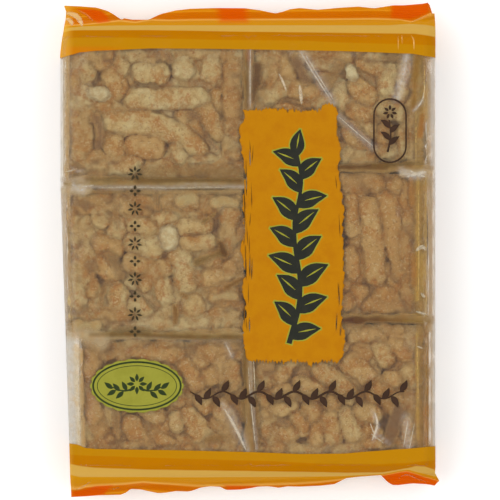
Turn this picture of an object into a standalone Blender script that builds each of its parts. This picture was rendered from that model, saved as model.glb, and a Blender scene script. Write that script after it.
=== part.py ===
"""Pack of six sachima blocks in a clear side-gusset film bag, lying on its back.

The pack is one solid. X runs across the pack, Y along it towards its upper fin, Z up out of its front.
The film's tube is lofted along Y; the blocks' pads, the dough strands that stand out on them and the seam
on the back are fused to it.
"""

import math
import random

import bmesh
import bpy
from mathutils import Matrix, Vector

MM = 0.001

# The film bag
PACK_DEPTH = 36.0 * MM
MID_HEIGHT = PACK_DEPTH / 2
LEFT_SIDE = -79.9 * MM
LEFT_LEAN = 4.4 * MM
LEAN_START = 30.0 * MM
RIGHT_SIDE = 78.2 * MM
TOP_CREASE = 97.0 * MM
BOTTOM_CREASE = -97.6 * MM
BOTTOM_SLANT = 0.042
TOP_RUN = 15.0 * MM
BOTTOM_RUN = 12.5 * MM
END_POWER = 2.3
FRONT_SAG = 3.8 * MM
BACK_SAG = 1.6 * MM
EDGE_RADIUS = 6.0 * MM
SIDE_CREASE = 0.7 * MM
DEEPEST_TUCK = 12.0 * MM
TUCK_START = 0.5
TUCK_FULL = 0.82
TUCK_SHUT = 0.9
PANEL_STEPS = 18
EDGE_STEPS = 3
END_STEPS = 7
BODY_STEPS = 6

# The fins: width of the sealed flap, its thickness, and how far it reaches in plan at places across the pack
FIN_WIDTH = 7.6 * MM
FIN_THICK = 1.4 * MM
TOP_REACH = (
    (-80, 5.9), (-69, 5.7), (-61, 4.6), (-54.5, 1.6), (-46, 1.2), (-37, 3.3), (-20, 5.2),
    (4, 5.4), (12, 4.0), (22, 5.4), (30, 4.6), (45, 5.6), (60, 5.8), (72, 7.0), (80, 7.6),
)
BOTTOM_REACH = (
    (-80, 4.0), (-56, 4.2), (-50, 1.8), (-43, 3.2), (-38, 4.2), (-28, 3.7), (-20, 1.9),
    (-7, 3.8), (4, 2.9), (24, 3.3), (38, 3.0), (43, 1.1), (55, 0.9), (61, 4.6), (70, 4.4), (80, 5.9),
)
EAR = 2.0 * MM

# The blocks of sachima, two columns of three
BLOCK_LENGTH = 61.0 * MM
ROW_PITCH = 63.4 * MM
COLUMNS = (
    (-77.0 * MM, -1.5 * MM, -4.4 * MM),
    (0.9 * MM, 74.6 * MM, 2.3 * MM),
)
BLOCK_EDGE = 6.0 * MM
BLOCK_TOP = PACK_DEPTH - 3.0 * MM
UPPER_END = 89.5 * MM
LOWER_END = -90.5 * MM

# The dough strands that stand out on each block
STRAND_RADIUS = 4.7 * MM
STRAND_ROWS = 4
STRAND_COLUMNS = 5
STRAND_SIDES = 8
STRAND_RINGS = 6

# The seam down the back
SEAM_CENTRE = -7.0 * MM
SEAM_WIDTH = 12.0 * MM
SEAM_LIFT = 0.15 * MM
SEAM_TOP = 2.4 * MM
SEAM_INSET = 13.0 * MM


def clear_scene():
    for item in list(bpy.data.objects):
        bpy.data.objects.remove(item, do_unlink=True)


def smoothstep(low, high, value):
    share = min(1.0, max(0.0, (value - low) / (high - low)))
    return share * share * (3.0 - 2.0 * share)


def between(points, x):
    """The reach at x of an outline given as (place, reach) pairs in millimetres, eased between them."""
    place = x / MM
    for (x0, reach0), (x1, reach1) in zip(points, points[1:]):
        if place <= x1:
            return MM * (reach0 + (reach1 - reach0) * smoothstep(x0, x1, place))
    return MM * points[-1][1]


def left_side(y):
    return LEFT_SIDE + LEFT_LEAN * max(0.0, LEAN_START - y) / (LEAN_START - BOTTOM_CREASE)


def half_gap(share):
    """Half the distance from front to back film, from the blocks (share 0) to the crease (share 1)."""
    open_part = (1.0 - share**END_POWER) ** (1.0 / END_POWER)
    return max(FIN_THICK / 2, MID_HEIGHT * open_part)


def section(y, share, slant):
    """One closed section of the film tube, as points from the front's left edge and clockwise.

    share says how near the section is to the crease, and slant how far the crease leans along Y over X.
    """
    half = half_gap(share)
    radius = min(EDGE_RADIUS, 0.8 * half)
    left = left_side(y)
    right = RIGHT_SIDE
    tuck = SIDE_CREASE + DEEPEST_TUCK * smoothstep(TUCK_START, TUCK_FULL, share)
    tuck *= 1.0 - smoothstep(TUCK_SHUT, 1.0, share)
    front = min(half, MID_HEIGHT - FRONT_SAG)
    back = min(half, MID_HEIGHT - BACK_SAG)
    outline = []
    for step in range(PANEL_STEPS + 1):
        x = left + radius + (right - left - 2 * radius) * step / PANEL_STEPS
        outline.append((x, front))
    for step in range(1, EDGE_STEPS + 1):
        angle = math.radians(90) * (1 - step / EDGE_STEPS)
        outline.append((right - radius + radius * math.cos(angle), front - radius + radius * math.sin(angle)))
    outline.append((right - tuck * 0.55, (front - radius) * 0.45))
    outline.append((right - tuck, 0.0))
    outline.append((right - tuck * 0.55, -(back - radius) * 0.45))
    for step in range(EDGE_STEPS + 1):
        angle = math.radians(90) * step / EDGE_STEPS
        outline.append((right - radius + radius * math.cos(angle), radius - back - radius * math.sin(angle)))
    for step in range(1, PANEL_STEPS + 1):
        x = right - radius - (right - left - 2 * radius) * step / PANEL_STEPS
        outline.append((x, -back))
    for step in range(1, EDGE_STEPS + 1):
        angle = math.radians(90) * (1 - step / EDGE_STEPS)
        outline.append((left + radius - radius * math.cos(angle), radius - back - radius * math.sin(angle)))
    outline.append((left + tuck * 0.55, -(back - radius) * 0.45))
    outline.append((left + tuck, 0.0))
    outline.append((left + tuck * 0.55, (front - radius) * 0.45))
    for step in range(EDGE_STEPS):
        angle = math.radians(90) * step / EDGE_STEPS
        outline.append((left + radius - radius * math.cos(angle), front - radius + radius * math.sin(angle)))
    return [Vector((x, y + slant * x * share, MID_HEIGHT + z)) for x, z in outline]


def fin_section(base, crease_side, reach_points, portion, widen):
    """The crease's section moved out along the fin: portion 0 at the crease, 1 at the fin's tip."""
    ring = []
    for point in base:
        reach = min(FIN_WIDTH, between(reach_points, point.x))
        drop = math.sqrt(max(0.0, FIN_WIDTH**2 - reach**2))
        x = point.x + widen * portion * smoothstep(60 * MM, 79 * MM, point.x)
        y = point.y + crease_side * reach * portion
        ring.append(Vector((x, y, point.z - drop * portion)))
    return ring


def film_rings():
    """All sections of the bag, from the lower fin's tip to the upper fin's tip."""
    shares = [math.sin(math.radians(90) * step / END_STEPS) for step in range(END_STEPS + 1)]
    lower_end = BOTTOM_CREASE + BOTTOM_RUN
    upper_end = TOP_CREASE - TOP_RUN
    lower = [section(lower_end - BOTTOM_RUN * share, share, BOTTOM_SLANT) for share in reversed(shares)]
    upper = [section(upper_end + TOP_RUN * share, share, 0.0) for share in shares]
    places = [step / BODY_STEPS for step in range(1, BODY_STEPS)]
    middle = [section(lower_end + (upper_end - lower_end) * place, 0.0, 0.0) for place in places]
    bottom_fin = [fin_section(lower[0], -1, BOTTOM_REACH, portion, EAR) for portion in (1.0, 0.5)]
    top_fin = [fin_section(upper[-1], 1, TOP_REACH, portion, 0.0) for portion in (0.5, 1.0)]
    return bottom_fin + lower + middle + upper + top_fin


def cap_tip(mesh, ring):
    """Closes a fin's tip with a strip of faces between its front edge and its back edge."""
    count = len(ring)
    half = count // 2
    front = ring[: half + 1]
    back = [ring[-index % count] for index in range(half + 1)]
    for index in range(half):
        corners = [front[index], front[index + 1], back[index + 1], back[index]]
        distinct = list(dict.fromkeys(corners))
        if len(distinct) > 2:
            mesh.faces.new(distinct)


def film_bag():
    rings = film_rings()
    mesh = bmesh.new()
    verts = [mesh.verts.new(point) for point in rings[0]]
    count = len(verts)
    edges = [mesh.edges.new((verts[index], verts[(index + 1) % count])) for index in range(count)]
    tips = [verts]
    for ring in rings[1:]:
        grown = bmesh.ops.extrude_edge_only(mesh, edges=edges)["geom"]
        edges = [item for item in grown if isinstance(item, bmesh.types.BMEdge)]
        fresh = [item for item in grown if isinstance(item, bmesh.types.BMVert)]
        ordered = [next(v for v in fresh if (v.co - old.co).length < 1e-9) for old in tips[-1]]
        for vert, place in zip(ordered, ring):
            vert.co = place
        tips.append(ordered)
    to_left_fold = EDGE_STEPS + 2
    for ring in (tips[0], tips[-1]):
        cap_tip(mesh, ring[-to_left_fold:] + ring[:-to_left_fold])
    bmesh.ops.recalc_face_normals(mesh, faces=mesh.faces[:])
    return new_object("film_bag", mesh)


def new_object(name, mesh):
    data = bpy.data.meshes.new(name)
    mesh.to_mesh(data)
    mesh.free()
    item = bpy.data.objects.new(name, data)
    bpy.context.scene.collection.objects.link(item)
    return item


def block_box(column, row):
    """Left, right, lower and upper limits of a block, drawn in at the pack's ends."""
    left, right, centre = COLUMNS[column]
    middle = centre + (1 - row) * ROW_PITCH
    lower = max(LOWER_END, middle - BLOCK_LENGTH / 2)
    upper = min(UPPER_END, middle + BLOCK_LENGTH / 2)
    if column == 0:
        left = max(left, left_side(middle) + 2.4 * MM)
    return left, right, lower, upper


def block_pad(column, row):
    left, right, lower, upper = block_box(column, row)
    mesh = bmesh.new()
    bmesh.ops.create_cube(mesh, size=1.0)
    bmesh.ops.scale(mesh, verts=mesh.verts, vec=(right - left, upper - lower, BLOCK_TOP))
    bmesh.ops.translate(
        mesh, verts=mesh.verts, vec=((left + right) / 2, (lower + upper) / 2, BLOCK_TOP / 2)
    )
    bmesh.ops.bevel(
        mesh, geom=mesh.edges[:], offset=BLOCK_EDGE, segments=3, profile=0.5, affect="EDGES", material=-1
    )
    return new_object(f"pad_{column}_{row}", mesh)


def strand(name, centre, angle, length, radius):
    """One dough strand: a ball cut across the middle, its halves drawn apart and turned to lie flat."""
    mesh = bmesh.new()
    bmesh.ops.create_uvsphere(mesh, u_segments=STRAND_SIDES, v_segments=STRAND_RINGS, radius=radius)
    bmesh.ops.rotate(mesh, verts=mesh.verts, matrix=Matrix.Rotation(math.radians(90), 3, "Y"))
    for vert in mesh.verts:
        if abs(vert.co.x) > 1e-6:
            vert.co.x += math.copysign(length / 2 - radius, vert.co.x)
    bmesh.ops.rotate(mesh, verts=mesh.verts, matrix=Matrix.Rotation(angle, 3, "Z"))
    bmesh.ops.translate(mesh, verts=mesh.verts, vec=centre)
    return new_object(name, mesh)


def block_strands(column, row):
    """Strands over a block's face, one in each cell of a grid, uneven in place, length and direction."""
    draw = random.Random(100 + 10 * column + row)
    left, right, lower, upper = block_box(column, row)
    margin = 9 * MM
    made = []
    for across in range(STRAND_COLUMNS):
        for along in range(STRAND_ROWS):
            angle = draw.choice((0.1, 0.9, 1.5, 2.3)) + draw.uniform(-0.3, 0.3)
            length = draw.uniform(18, 30) * MM
            radius = STRAND_RADIUS * draw.uniform(0.9, 1.12)
            reach_x = abs(math.cos(angle)) * (length / 2 - radius) + margin
            reach_y = abs(math.sin(angle)) * (length / 2 - radius) + margin
            x = left + (right - left) * (across + draw.uniform(0.25, 0.75)) / STRAND_COLUMNS
            y = lower + (upper - lower) * (along + draw.uniform(0.25, 0.75)) / STRAND_ROWS
            x = min(max(x, left + reach_x), right - reach_x)
            y = min(max(y, lower + reach_y), upper - reach_y)
            z = PACK_DEPTH - radius - draw.uniform(0.0, 1.5) * MM
            made.append(strand(f"strand_{column}_{row}_{across}_{along}", (x, y, z), angle, length, radius))
    return made


def back_seam():
    mesh = bmesh.new()
    bmesh.ops.create_cube(mesh, size=1.0)
    length = TOP_CREASE - BOTTOM_CREASE - 2 * SEAM_INSET
    middle = (TOP_CREASE + BOTTOM_CREASE) / 2
    bmesh.ops.scale(mesh, verts=mesh.verts, vec=(SEAM_WIDTH, length, SEAM_TOP - SEAM_LIFT))
    bmesh.ops.translate(mesh, verts=mesh.verts, vec=(SEAM_CENTRE, middle, (SEAM_TOP + SEAM_LIFT) / 2))
    return new_object("seam", mesh)


def pack_material():
    material = bpy.data.materials.new("film_over_sachima")
    material.use_nodes = True
    shader = material.node_tree.nodes["Principled BSDF"]
    shader.inputs["Base Color"].default_value = (0.33, 0.21, 0.09, 1.0)
    shader.inputs["Roughness"].default_value = 0.3
    shader.inputs["Metallic"].default_value = 0.0
    return material


def fuse(base, pieces):
    """Joins the pieces to the base in one union and removes them."""
    group = bpy.data.collections.new("pieces")
    for piece in pieces:
        bpy.context.scene.collection.objects.unlink(piece)
        group.objects.link(piece)
    bpy.context.scene.collection.children.link(group)
    union = base.modifiers.new("union", "BOOLEAN")
    union.operation = "UNION"
    union.operand_type = "COLLECTION"
    union.collection = group
    union.solver = "MANIFOLD"
    graph = bpy.context.evaluated_depsgraph_get()
    joined = bpy.data.meshes.new_from_object(base.evaluated_get(graph))
    base.modifiers.remove(union)
    base.data = joined
    for piece in pieces:
        bpy.data.objects.remove(piece, do_unlink=True)
    bpy.data.collections.remove(group)


def centre_on_floor(item):
    """Puts the origin under the middle of the pack, with the pack on the floor."""
    points = [vert.co for vert in item.data.vertices]
    low = [min(point[axis] for point in points) for axis in range(3)]
    high = [max(point[axis] for point in points) for axis in range(3)]
    shift = Vector((-(low[0] + high[0]) / 2, -(low[1] + high[1]) / 2, -low[2]))
    item.data.transform(Matrix.Translation(shift))


def main():
    clear_scene()
    bag = film_bag()
    pieces = [back_seam()]
    for column in range(2):
        for row in range(3):
            pieces.append(block_pad(column, row))
            pieces += block_strands(column, row)
    fuse(bag, pieces)
    centre_on_floor(bag)
    bag.name = "sachima_pack"
    bag.data.materials.clear()
    bag.data.materials.append(pack_material())
    bag.data.shade_smooth()
    bag.data.set_sharp_from_angle(angle=math.radians(35))


main()
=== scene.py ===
"""Looks of a pack of six film-wrapped sachima blocks in a clear side-gusset bag, lying on its back.

X runs across the pack, Y along it towards its upper fin, Z up out of its front. Lengths in this script are
in millimetres until a mesh is finished, and metres after that.
"""

import math
import random

import bmesh
import bpy
import numpy as np
from mathutils import Matrix, Vector, noise
from mathutils.bvhtree import BVHTree
from mathutils.geometry import delaunay_2d_cdt


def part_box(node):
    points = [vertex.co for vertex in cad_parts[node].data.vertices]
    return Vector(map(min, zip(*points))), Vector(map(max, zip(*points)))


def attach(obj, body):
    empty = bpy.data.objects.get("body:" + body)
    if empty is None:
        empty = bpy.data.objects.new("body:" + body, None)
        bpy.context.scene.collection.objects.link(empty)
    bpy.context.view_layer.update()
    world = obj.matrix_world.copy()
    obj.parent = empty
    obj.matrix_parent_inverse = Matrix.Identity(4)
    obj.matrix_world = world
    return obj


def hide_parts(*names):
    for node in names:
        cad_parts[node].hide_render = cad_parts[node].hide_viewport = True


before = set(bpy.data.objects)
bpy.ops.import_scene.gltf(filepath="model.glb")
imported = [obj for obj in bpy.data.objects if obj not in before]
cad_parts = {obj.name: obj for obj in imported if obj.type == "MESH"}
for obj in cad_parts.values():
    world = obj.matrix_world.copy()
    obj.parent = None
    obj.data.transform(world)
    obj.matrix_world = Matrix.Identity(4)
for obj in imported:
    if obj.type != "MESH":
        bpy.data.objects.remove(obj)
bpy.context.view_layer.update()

MM = 0.001
NODE = "sachima_pack"
NODE_LOW, NODE_HIGH = (np.array(corner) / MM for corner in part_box(NODE))

# The studio: floor, lights and a camera straight over the pack, which sees 210 mm across
FLOOR_SIZE = 4000.0
FLOOR_GLOW = 0.16
WORLD_GLOW = 0.34
LIGHT_SIZE = 2.2
LIGHTS = (
    ("left_light", (-1.3, 0.3, 1.5), 23.0),
    ("right_light", (1.4, -0.2, 1.5), 18.0),
    ("far_light", (0.1, 1.6, 1.3), 12.0),
    ("near_light", (-0.1, -1.5, 1.5), 12.0),
)
CAMERA_PLACE = (0.1, -0.23)
CAMERA_HEIGHT = 3.5
VIEW_WIDTH = 210.0
SENSOR = 36.0

# The film bag
PACK_DEPTH = NODE_HIGH[2]
MID_HEIGHT = PACK_DEPTH / 2
LEFT_SIDE = NODE_LOW[0] + 0.15
LEFT_LEAN = 4.4
LEAN_START = 30.0
RIGHT_SIDE = 78.2
TOP_CREASE = 97.0
BOTTOM_CREASE = -97.6
BOTTOM_SLANT = 0.042
TOP_RUN = 15.0
BOTTOM_RUN = 12.5
END_POWER = 2.3
FRONT_SAG = 3.8
BACK_SAG = 1.6
EDGE_RADIUS = 4.6
SIDE_CREASE = 0.7
DEEPEST_TUCK = 12.0
TUCK_START = 0.5
TUCK_FULL = 0.82
TUCK_SHUT = 0.9
PANEL_STEPS = 156
EDGE_STEPS = 5
SIDE_STEPS = 5
END_STEPS = 26
BODY_STEPS = 150
FIN_STEPS = 36
FIN_WIDTH = 7.6
FIN_THICK = 0.5
CRIMP_PITCH = 1.25
CRIMP_HEIGHT = 0.22
EAR = 2.0
EAR_SPAN = (60.0, 79.0)
HELD_SHARE = 0.97
LOWEST_FILM = 0.55
BAG_CLEARANCE = 0.4
BAG_ROUNDS = 220
# Painted light: across this span the end print turns lighter yellow towards the bag's left edge
GLOW_SPAN = (-73.6, -78.0)
SHOT_HEIGHT = 90.0
TOP_LEFT_IN = ((81.6, 0.0), (87.0, 0.6), (92.0, 1.45), (97.0, 2.1), (100.5, 2.3), (102.6, 1.5))
TOP_REACH = (
    (-79, 6.1), (-72, 5.8), (-65, 5.3), (-60.4, 4.0), (-57.9, 2.7), (-55.3, 0.9), (-54.3, 0.1),
    (-53.2, 0.8), (-49.5, 0.2), (-45.7, -0.6), (-42.7, 0.3), (-37.7, 2.6), (-31.4, 4.1), (-25.1, 4.8),
    (-14.6, 5.1), (-2, 5.0), (4.3, 4.2), (8.5, 3.3), (11, 2.9), (14, 3.6), (16.9, 4.6), (21.1, 5.1),
    (28.7, 4.4), (37.9, 5.2), (45.9, 5.7), (52.6, 5.0), (60.6, 6.2), (65.2, 6.2), (73.6, 6.9), (75.8, 7.4),
    (76.8, 2.9), (80, 2.7),
)
BOTTOM_REACH = (
    (-80, 4.0), (-69.2, 3.9), (-64.2, 3.7), (-54.5, 3.9), (-52, 2.9), (-50.5, 1.6), (-46.1, 2.0),
    (-41.9, 3.1), (-38.5, 3.9), (-35.6, 3.8), (-31.4, 3.3), (-25.9, 3.7), (-23.8, 3.3), (-20.9, 2.3),
    (-16.7, 1.9), (-12.5, 2.3), (-10, 3.7), (-4.1, 3.8), (0.1, 3.4), (3.5, 2.9), (7.7, 2.9), (12.3, 3.7),
    (16.1, 3.3), (21.1, 3.6), (29.5, 3.6), (35.8, 3.2), (40.8, 0.9), (46.3, 0.5), (55.5, 0.2), (56.4, 1.2),
    (58.1, 3.1), (60.2, 4.5), (62.3, 4.7), (68.1, 4.2), (73.6, 4.8), (76.4, 5.5), (77.8, 3.6), (80, 3.4),
)

# The blocks of sachima, two columns of three
BLOCK_LENGTH = 62.6
ROW_PITCH = 63.4
COLUMNS = ((-78.1, -1.0, -4.4), (0.0, 74.6, 2.3))
LEFT_IN = (1.7, 1.7, 5.2)
UPPER_END = 89.5
LOWER_END = -90.5
BLOCK_LOW = 1.7
BLOCK_TOP = 34.6
BLOCK_EDGE = 0.8
PRESSED_DEPTH = 2.4
PRESSED_SHARE = 0.4
LOOSE_SHARES = (0.2, 0.4, 0.6, 0.8, 1.0)
VOXEL = 0.72

# The dough strands: centre line in the pack's own places, thickness, and how much higher or deeper it lies
STRANDS = {
    (0, 0): (
        (11, 0, (-49, 63.3), (-21, 63.3)),
        (11.5, 0, (-58, 53.6), (-42, 53.6), (-31, 49.5), (-24, 44.5), (-21.5, 42)),
        (11.5, 0, (-48.5, 43), (-40, 42.6)),
        (8, 0, (-30.5, 42.5), (-29, 37.5)),
        (10.8, 0, (-27.7, 87), (-27.7, 75)),
        (10.6, 0, (-15.9, 87), (-15.6, 73.5)),
        (9, 0, (-6.2, 86), (-6, 66)),
        (10, 0, (-45.5, 74.5), (-38, 74.5)),
        (8, 0, (-46, 84), (-41, 83)),
        (8, 0, (-54.5, 84), (-54, 76)),
        (13.5, 0, (-71.5, 79), (-70, 74)),
        (10, 0, (-58, 73), (-55.5, 67)),
        (6, 1, (-66.5, 65.5), (-61.5, 65)),
        (11, 0, (-69, 57), (-73.5, 47.5)),
        (9, -4, (-61, 51), (-65, 43)),
        (11, 0, (-72, 36), (-64.5, 37.5)),
        (10.5, 0, (-58, 45), (-56, 38)),
        (10, 0, (-23, 35.5), (-16, 36.5)),
        (8, 0, (-18.5, 58.5), (-13, 49)),
        (8.5, 0, (-7.5, 52), (-8, 37)),
        (6, -2.5, (-14, 66), (-14, 59)),
        (9, -2, (-57, 31.5), (-46, 31.5)),
        (8, -2, (-36, 32), (-27, 31.5)),
    ),
    (0, 1): (
        (8.5, 0, (-33, 20.8), (-28.5, 20.8)),
        (10, 0, (-18, 19.7), (-10, 19.5)),
        (7, -1.5, (-23.5, 15), (-21.5, 14)),
        (8, 1, (-34, 7), (-33.8, 2.5)),
        (7.5, 0, (-26, 2.5), (-17, 3)),
        (8, 0, (-28, 9.5), (-19, 10.5)),
        (9, 0, (-8, 13), (-7.5, 3)),
        (9, 0, (-17.5, -12), (-8, -10.5)),
        (7, 0, (-14.5, -19.2), (-6.5, -20)),
        (12, 0, (-12.5, -29), (-9, -29)),
        (11, 0, (-24.5, -22.5), (-24, -30)),
        (10, 0, (-67, 3), (-57, 0.5)),
        (10.5, 0, (-71, -3), (-68.5, -8)),
        (9, 0, (-67.5, -15.5), (-66.5, -17)),
        (11.5, 0, (-56, -18), (-55, -26)),
        (9.5, 0, (-72, -26), (-69.5, -28)),
        (8, 0, (-74, 22), (-66, 19.5), (-60, 15.5)),
        (7, 0, (-64, 12.5), (-61.5, 12)),
        (9, 0, (-50, 22), (-44, 18)),
        (9, 0, (-49, 11), (-43, 9)),
        (10, 0, (-50, -6), (-41, -9)),
        (9, 0, (-44, -14), (-36, -8)),
        (9, 0, (-74, 16), (-72, 8)),
        (10, 0, (-40, -10), (-35, -20)),
        (10, 0, (-48, -24), (-42, -30)),
        (8, 0, (-61, -32), (-52, -32)),
    ),
    (0, 2): (
        (10, 0, (-50, -73), (-45, -82)),
        (11, 0, (-25, -70), (-20, -79)),
        (7, 0, (-31, -70), (-30, -74)),
        (8, 0, (-37, -40), (-30, -41)),
        (9, 0, (-28, -48), (-22, -57)),
        (10, 0, (-12, -42), (-9, -56)),
        (9, 0, (-12, -66), (-7, -80)),
        (10, 0, (-68, -42), (-58, -41)),
        (9, 0, (-50, -40), (-44, -41)),
        (10, 0, (-70, -74), (-66, -85)),
        (9, 0, (-37, -80), (-30, -86)),
    ),
    (1, 0): (
        (8, 0, (3.5, 82), (9, 79.5)),
        (7.5, 0, (9.5, 77), (8, 70)),
        (8, 0, (15, 82), (16, 73.5)),
        (8.5, 0, (5.5, 62), (15, 69)),
        (9, 0, (19, 67.5), (27, 66)),
        (9.5, 0, (27, 80), (34, 79)),
        (8, -1.5, (31, 72), (36.5, 69)),
        (9, 0, (38.5, 68), (39, 60)),
        (5, 1, (42.5, 76), (43, 73)),
        (10, 0, (48, 80), (55, 77)),
        (10, 0, (44, 68), (50, 64)),
        (9.5, 0, (57.5, 76), (58, 67)),
        (8, 0, (66.5, 80), (64.5, 65)),
        (9, 0, (42, 58), (49, 57)),
        (9, 0, (56, 60), (63, 57)),
        (9, 0, (57, 50), (57, 42)),
        (8, 0, (64.5, 50), (65, 40)),
        (10, 0, (42, 50), (47, 44)),
        (8, 0, (43, 38), (52, 38)),
        (7, -1.5, (70.5, 80), (70.5, 66)),
        (7, 0, (70.5, 60), (70.5, 46)),
    ),
    (1, 1): (
        (8.5, 0, (42, 28.5), (50.5, 28)),
        (10.5, 0, (57.5, 22), (59.5, 12), (63, 0), (64, -9)),
        (10.5, 0, (50, 18), (51.5, 5), (53, -11)),
        (9, 0, (46, -18), (46.5, -22.5)),
        (11.5, 0, (56, -20.5), (59.5, -21)),
        (8, 0, (42, 20), (43, 8)),
        (8, 0, (42, -2), (42.5, -10)),
        (8, 0, (66.5, 27), (66.5, 19)),
        (7.5, 0, (67.5, 14), (68, -2)),
        (8, 0, (68, -10), (67, -24)),
        (7, -1.5, (71.5, 22), (71.5, 6)),
        (7, -1.5, (71.5, -2), (71.5, -20)),
        (7, -0.5, (55, 29.5), (62, 29)),
    ),
    (1, 2): (
        (9, 0, (53.5, -39), (57, -46)),
        (10, 0, (62, -38), (67, -44)),
        (9, 0, (59, -55), (65, -56)),
        (10, 0, (42, -47), (49, -53)),
        (9, 0, (47, -68), (52, -70)),
        (9.5, 0, (40.5, -70), (44, -78)),
        (9, 0, (67, -72), (67, -82)),
        (8.5, 0, (20.5, -71), (22, -76)),
        (8, 0, (8.5, -75), (8.5, -81)),
        (8, 0, (28, -76), (28.5, -82)),
        (10, 0, (33.5, -71), (35, -80)),
        (8, 0, (10, -67), (17, -66)),
        (9, 0, (21, -56), (29, -60)),
    ),
}
# Places left open between the strands: middle and radius
HOLES = {
    (0, 0): ((-35.5, 81.5, 2.5), (-22.5, 55.5, 2.6), (-15.5, 43.5, 2.2), (-9, 58, 2.0), (-64, 49, 2.6)),
    (0, 1): ((-17, 12, 2.2), (-11.5, 0.5, 2.0), (-21.5, -4.5, 2.0), (-6, -13.5, 2.2), (-31, -22, 2.0),
             (-62, -15, 3.0), (-53.5, -6, 2.0)),
    (0, 2): ((-54, -76, 2.6), (-35.5, -74, 2.2), (-14.5, -78, 2.2)),
    (1, 0): ((3.2, 69, 3.6), (21.5, 75, 2.8), (60, 80.5, 2.0)),
    (1, 1): ((64, -16, 2.4), (45, -11, 2.0)),
    (1, 2): ((23, -52.5, 2.4), (14, -72.5, 2.4), (59, -75, 4.6), (2.5, -74, 2.6)),
}
# How the rest of a block is filled with strands, and how they are pressed into one skin
WIDE_HOLE = 3.0
HOLE_MARGIN = 0.6
WIDEST_GAP = 12.0
SPARE_GAP = 1.5
UNDER_GAP = 0.1
OVERLAP = 3.3
UNDER_OVERLAP = 2.5
STRAND_RADIUS = (4.6, 6.3)
STRAND_REACH = (9.0, 20.0)
UNDER_RADIUS = (4.4, 5.4)
UNDER_REACH = (5.0, 10.0)
UNDER_LIFT = (-4.0, -2.6)
STRAND_BEND = 2.4
HEADINGS = 10
STRAND_STEP = 1.6
STRAND_SINK = 0.9
ROUND_END = (0.995, 0.9, 0.7, 0.4)
SWAY_SEED = 7
CORE_INSET = 5.0
GROOVE_DEPTH = 0.75
GROOVE_WIDTH = 0.8
CROWN = 0.8
CROWN_WIDTH = 2.4
PALE_LIFT = 0.9
PALE_TONE = -0.6
RELIEFS = (("lumps", 3.6, 1.7), ("crumb", 1.4, 1.1))
# How much darker the strands of some blocks are fried
WARMER = {(1, 1): 0.8, (0, 2): 0.35, (1, 2): 0.25}


def smoothstep(low, high, value):
    share = np.clip((np.asarray(value, float) - low) / (high - low), 0.0, 1.0)
    return share * share * (3.0 - 2.0 * share)


def new_object(name, mesh, materials=()):
    """An object in the scene from a bmesh or a mesh in millimetres."""
    if isinstance(mesh, bmesh.types.BMesh):
        data = bpy.data.meshes.new(name)
        mesh.to_mesh(data)
        mesh.free()
    else:
        data = mesh
        data.name = name
    data.transform(Matrix.Scale(MM, 4))
    item = bpy.data.objects.new(name, data)
    bpy.context.scene.collection.objects.link(item)
    for material in materials:
        data.materials.append(material)
    data.shade_smooth()
    return item


def shaped(item):
    """The object's mesh with its modifiers applied."""
    graph = bpy.context.evaluated_depsgraph_get()
    mesh = bpy.data.meshes.new_from_object(item.evaluated_get(graph))
    old = item.data
    item.modifiers.clear()
    item.data = mesh
    bpy.data.meshes.remove(old)
    return mesh


def places_of(mesh):
    """The mesh's vertex places as an array, in millimetres."""
    flat = np.empty(3 * len(mesh.vertices), np.float32)
    mesh.vertices.foreach_get("co", flat)
    return flat.reshape(-1, 3).astype(float) / MM


def put_places(mesh, places):
    mesh.vertices.foreach_set("co", (places * MM).astype(np.float32).ravel())
    mesh.update()


def write_values(mesh, name, values):
    """A named value at each vertex, which the materials read."""
    layer = mesh.attributes.get(name) or mesh.attributes.new(name, "FLOAT", "POINT")
    layer.data.foreach_set("value", np.asarray(values, np.float32))


def distance_to_line(places, points):
    """Distance from each place to a line through the points."""
    nearest = np.full(len(places), 1e9)
    for start, end in zip(points[:-1], points[1:]):
        run = end - start
        share = np.clip(((places - start) @ run) / max(float(run @ run), 1e-9), 0.0, 1.0)
        offset = places - (start + share[:, None] * run)
        nearest = np.minimum(nearest, np.sqrt((offset**2).sum(axis=1)))
    return nearest


def even_line(points, step):
    """A rounded line through the points, with a point about every step."""
    line = np.array(points, float)
    for _ in range(3):
        if len(line) > 2:
            cut = [line[0]]
            for start, end in zip(line[:-1], line[1:]):
                cut += [0.75 * start + 0.25 * end, 0.25 * start + 0.75 * end]
            line = np.array(cut + [line[-1]])
    runs = np.sqrt((np.diff(line, axis=0) ** 2).sum(axis=1))
    along = np.concatenate([[0.0], np.cumsum(runs)])
    count = max(2, int(math.ceil(along[-1] / step)) + 1)
    wanted = np.linspace(0.0, along[-1], count)
    return np.column_stack([np.interp(wanted, along, line[:, axis]) for axis in range(line.shape[1])])


def left_side(y):
    return LEFT_SIDE + LEFT_LEAN * np.maximum(0.0, LEAN_START - y) / (LEAN_START - BOTTOM_CREASE)


def block_box(column, row):
    """Left, right, lower and upper limits of a block, drawn in at the pack's ends."""
    left, right, centre = COLUMNS[column]
    middle = centre + (1 - row) * ROW_PITCH
    lower = max(LOWER_END, middle - BLOCK_LENGTH / 2)
    upper = min(UPPER_END, middle + BLOCK_LENGTH / 2)
    if column == 0:
        left = max(left, float(left_side(middle)) + LEFT_IN[row])
    return left, right, lower, upper


class Face:
    """One side of a block: a flat place, its two directions and its outward one."""

    def __init__(self, corner, across, along, outward, width, height):
        self.corner = np.array(corner, float)
        self.across = np.array(across, float)
        self.along = np.array(along, float)
        self.outward = np.array(outward, float)
        self.width = width
        self.height = height

    def place(self, flat_points, depth):
        flat = np.asarray(flat_points, float)
        return (
            self.corner + flat[:, :1] * self.across + flat[:, 1:2] * self.along - self.outward * depth
        )


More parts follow.
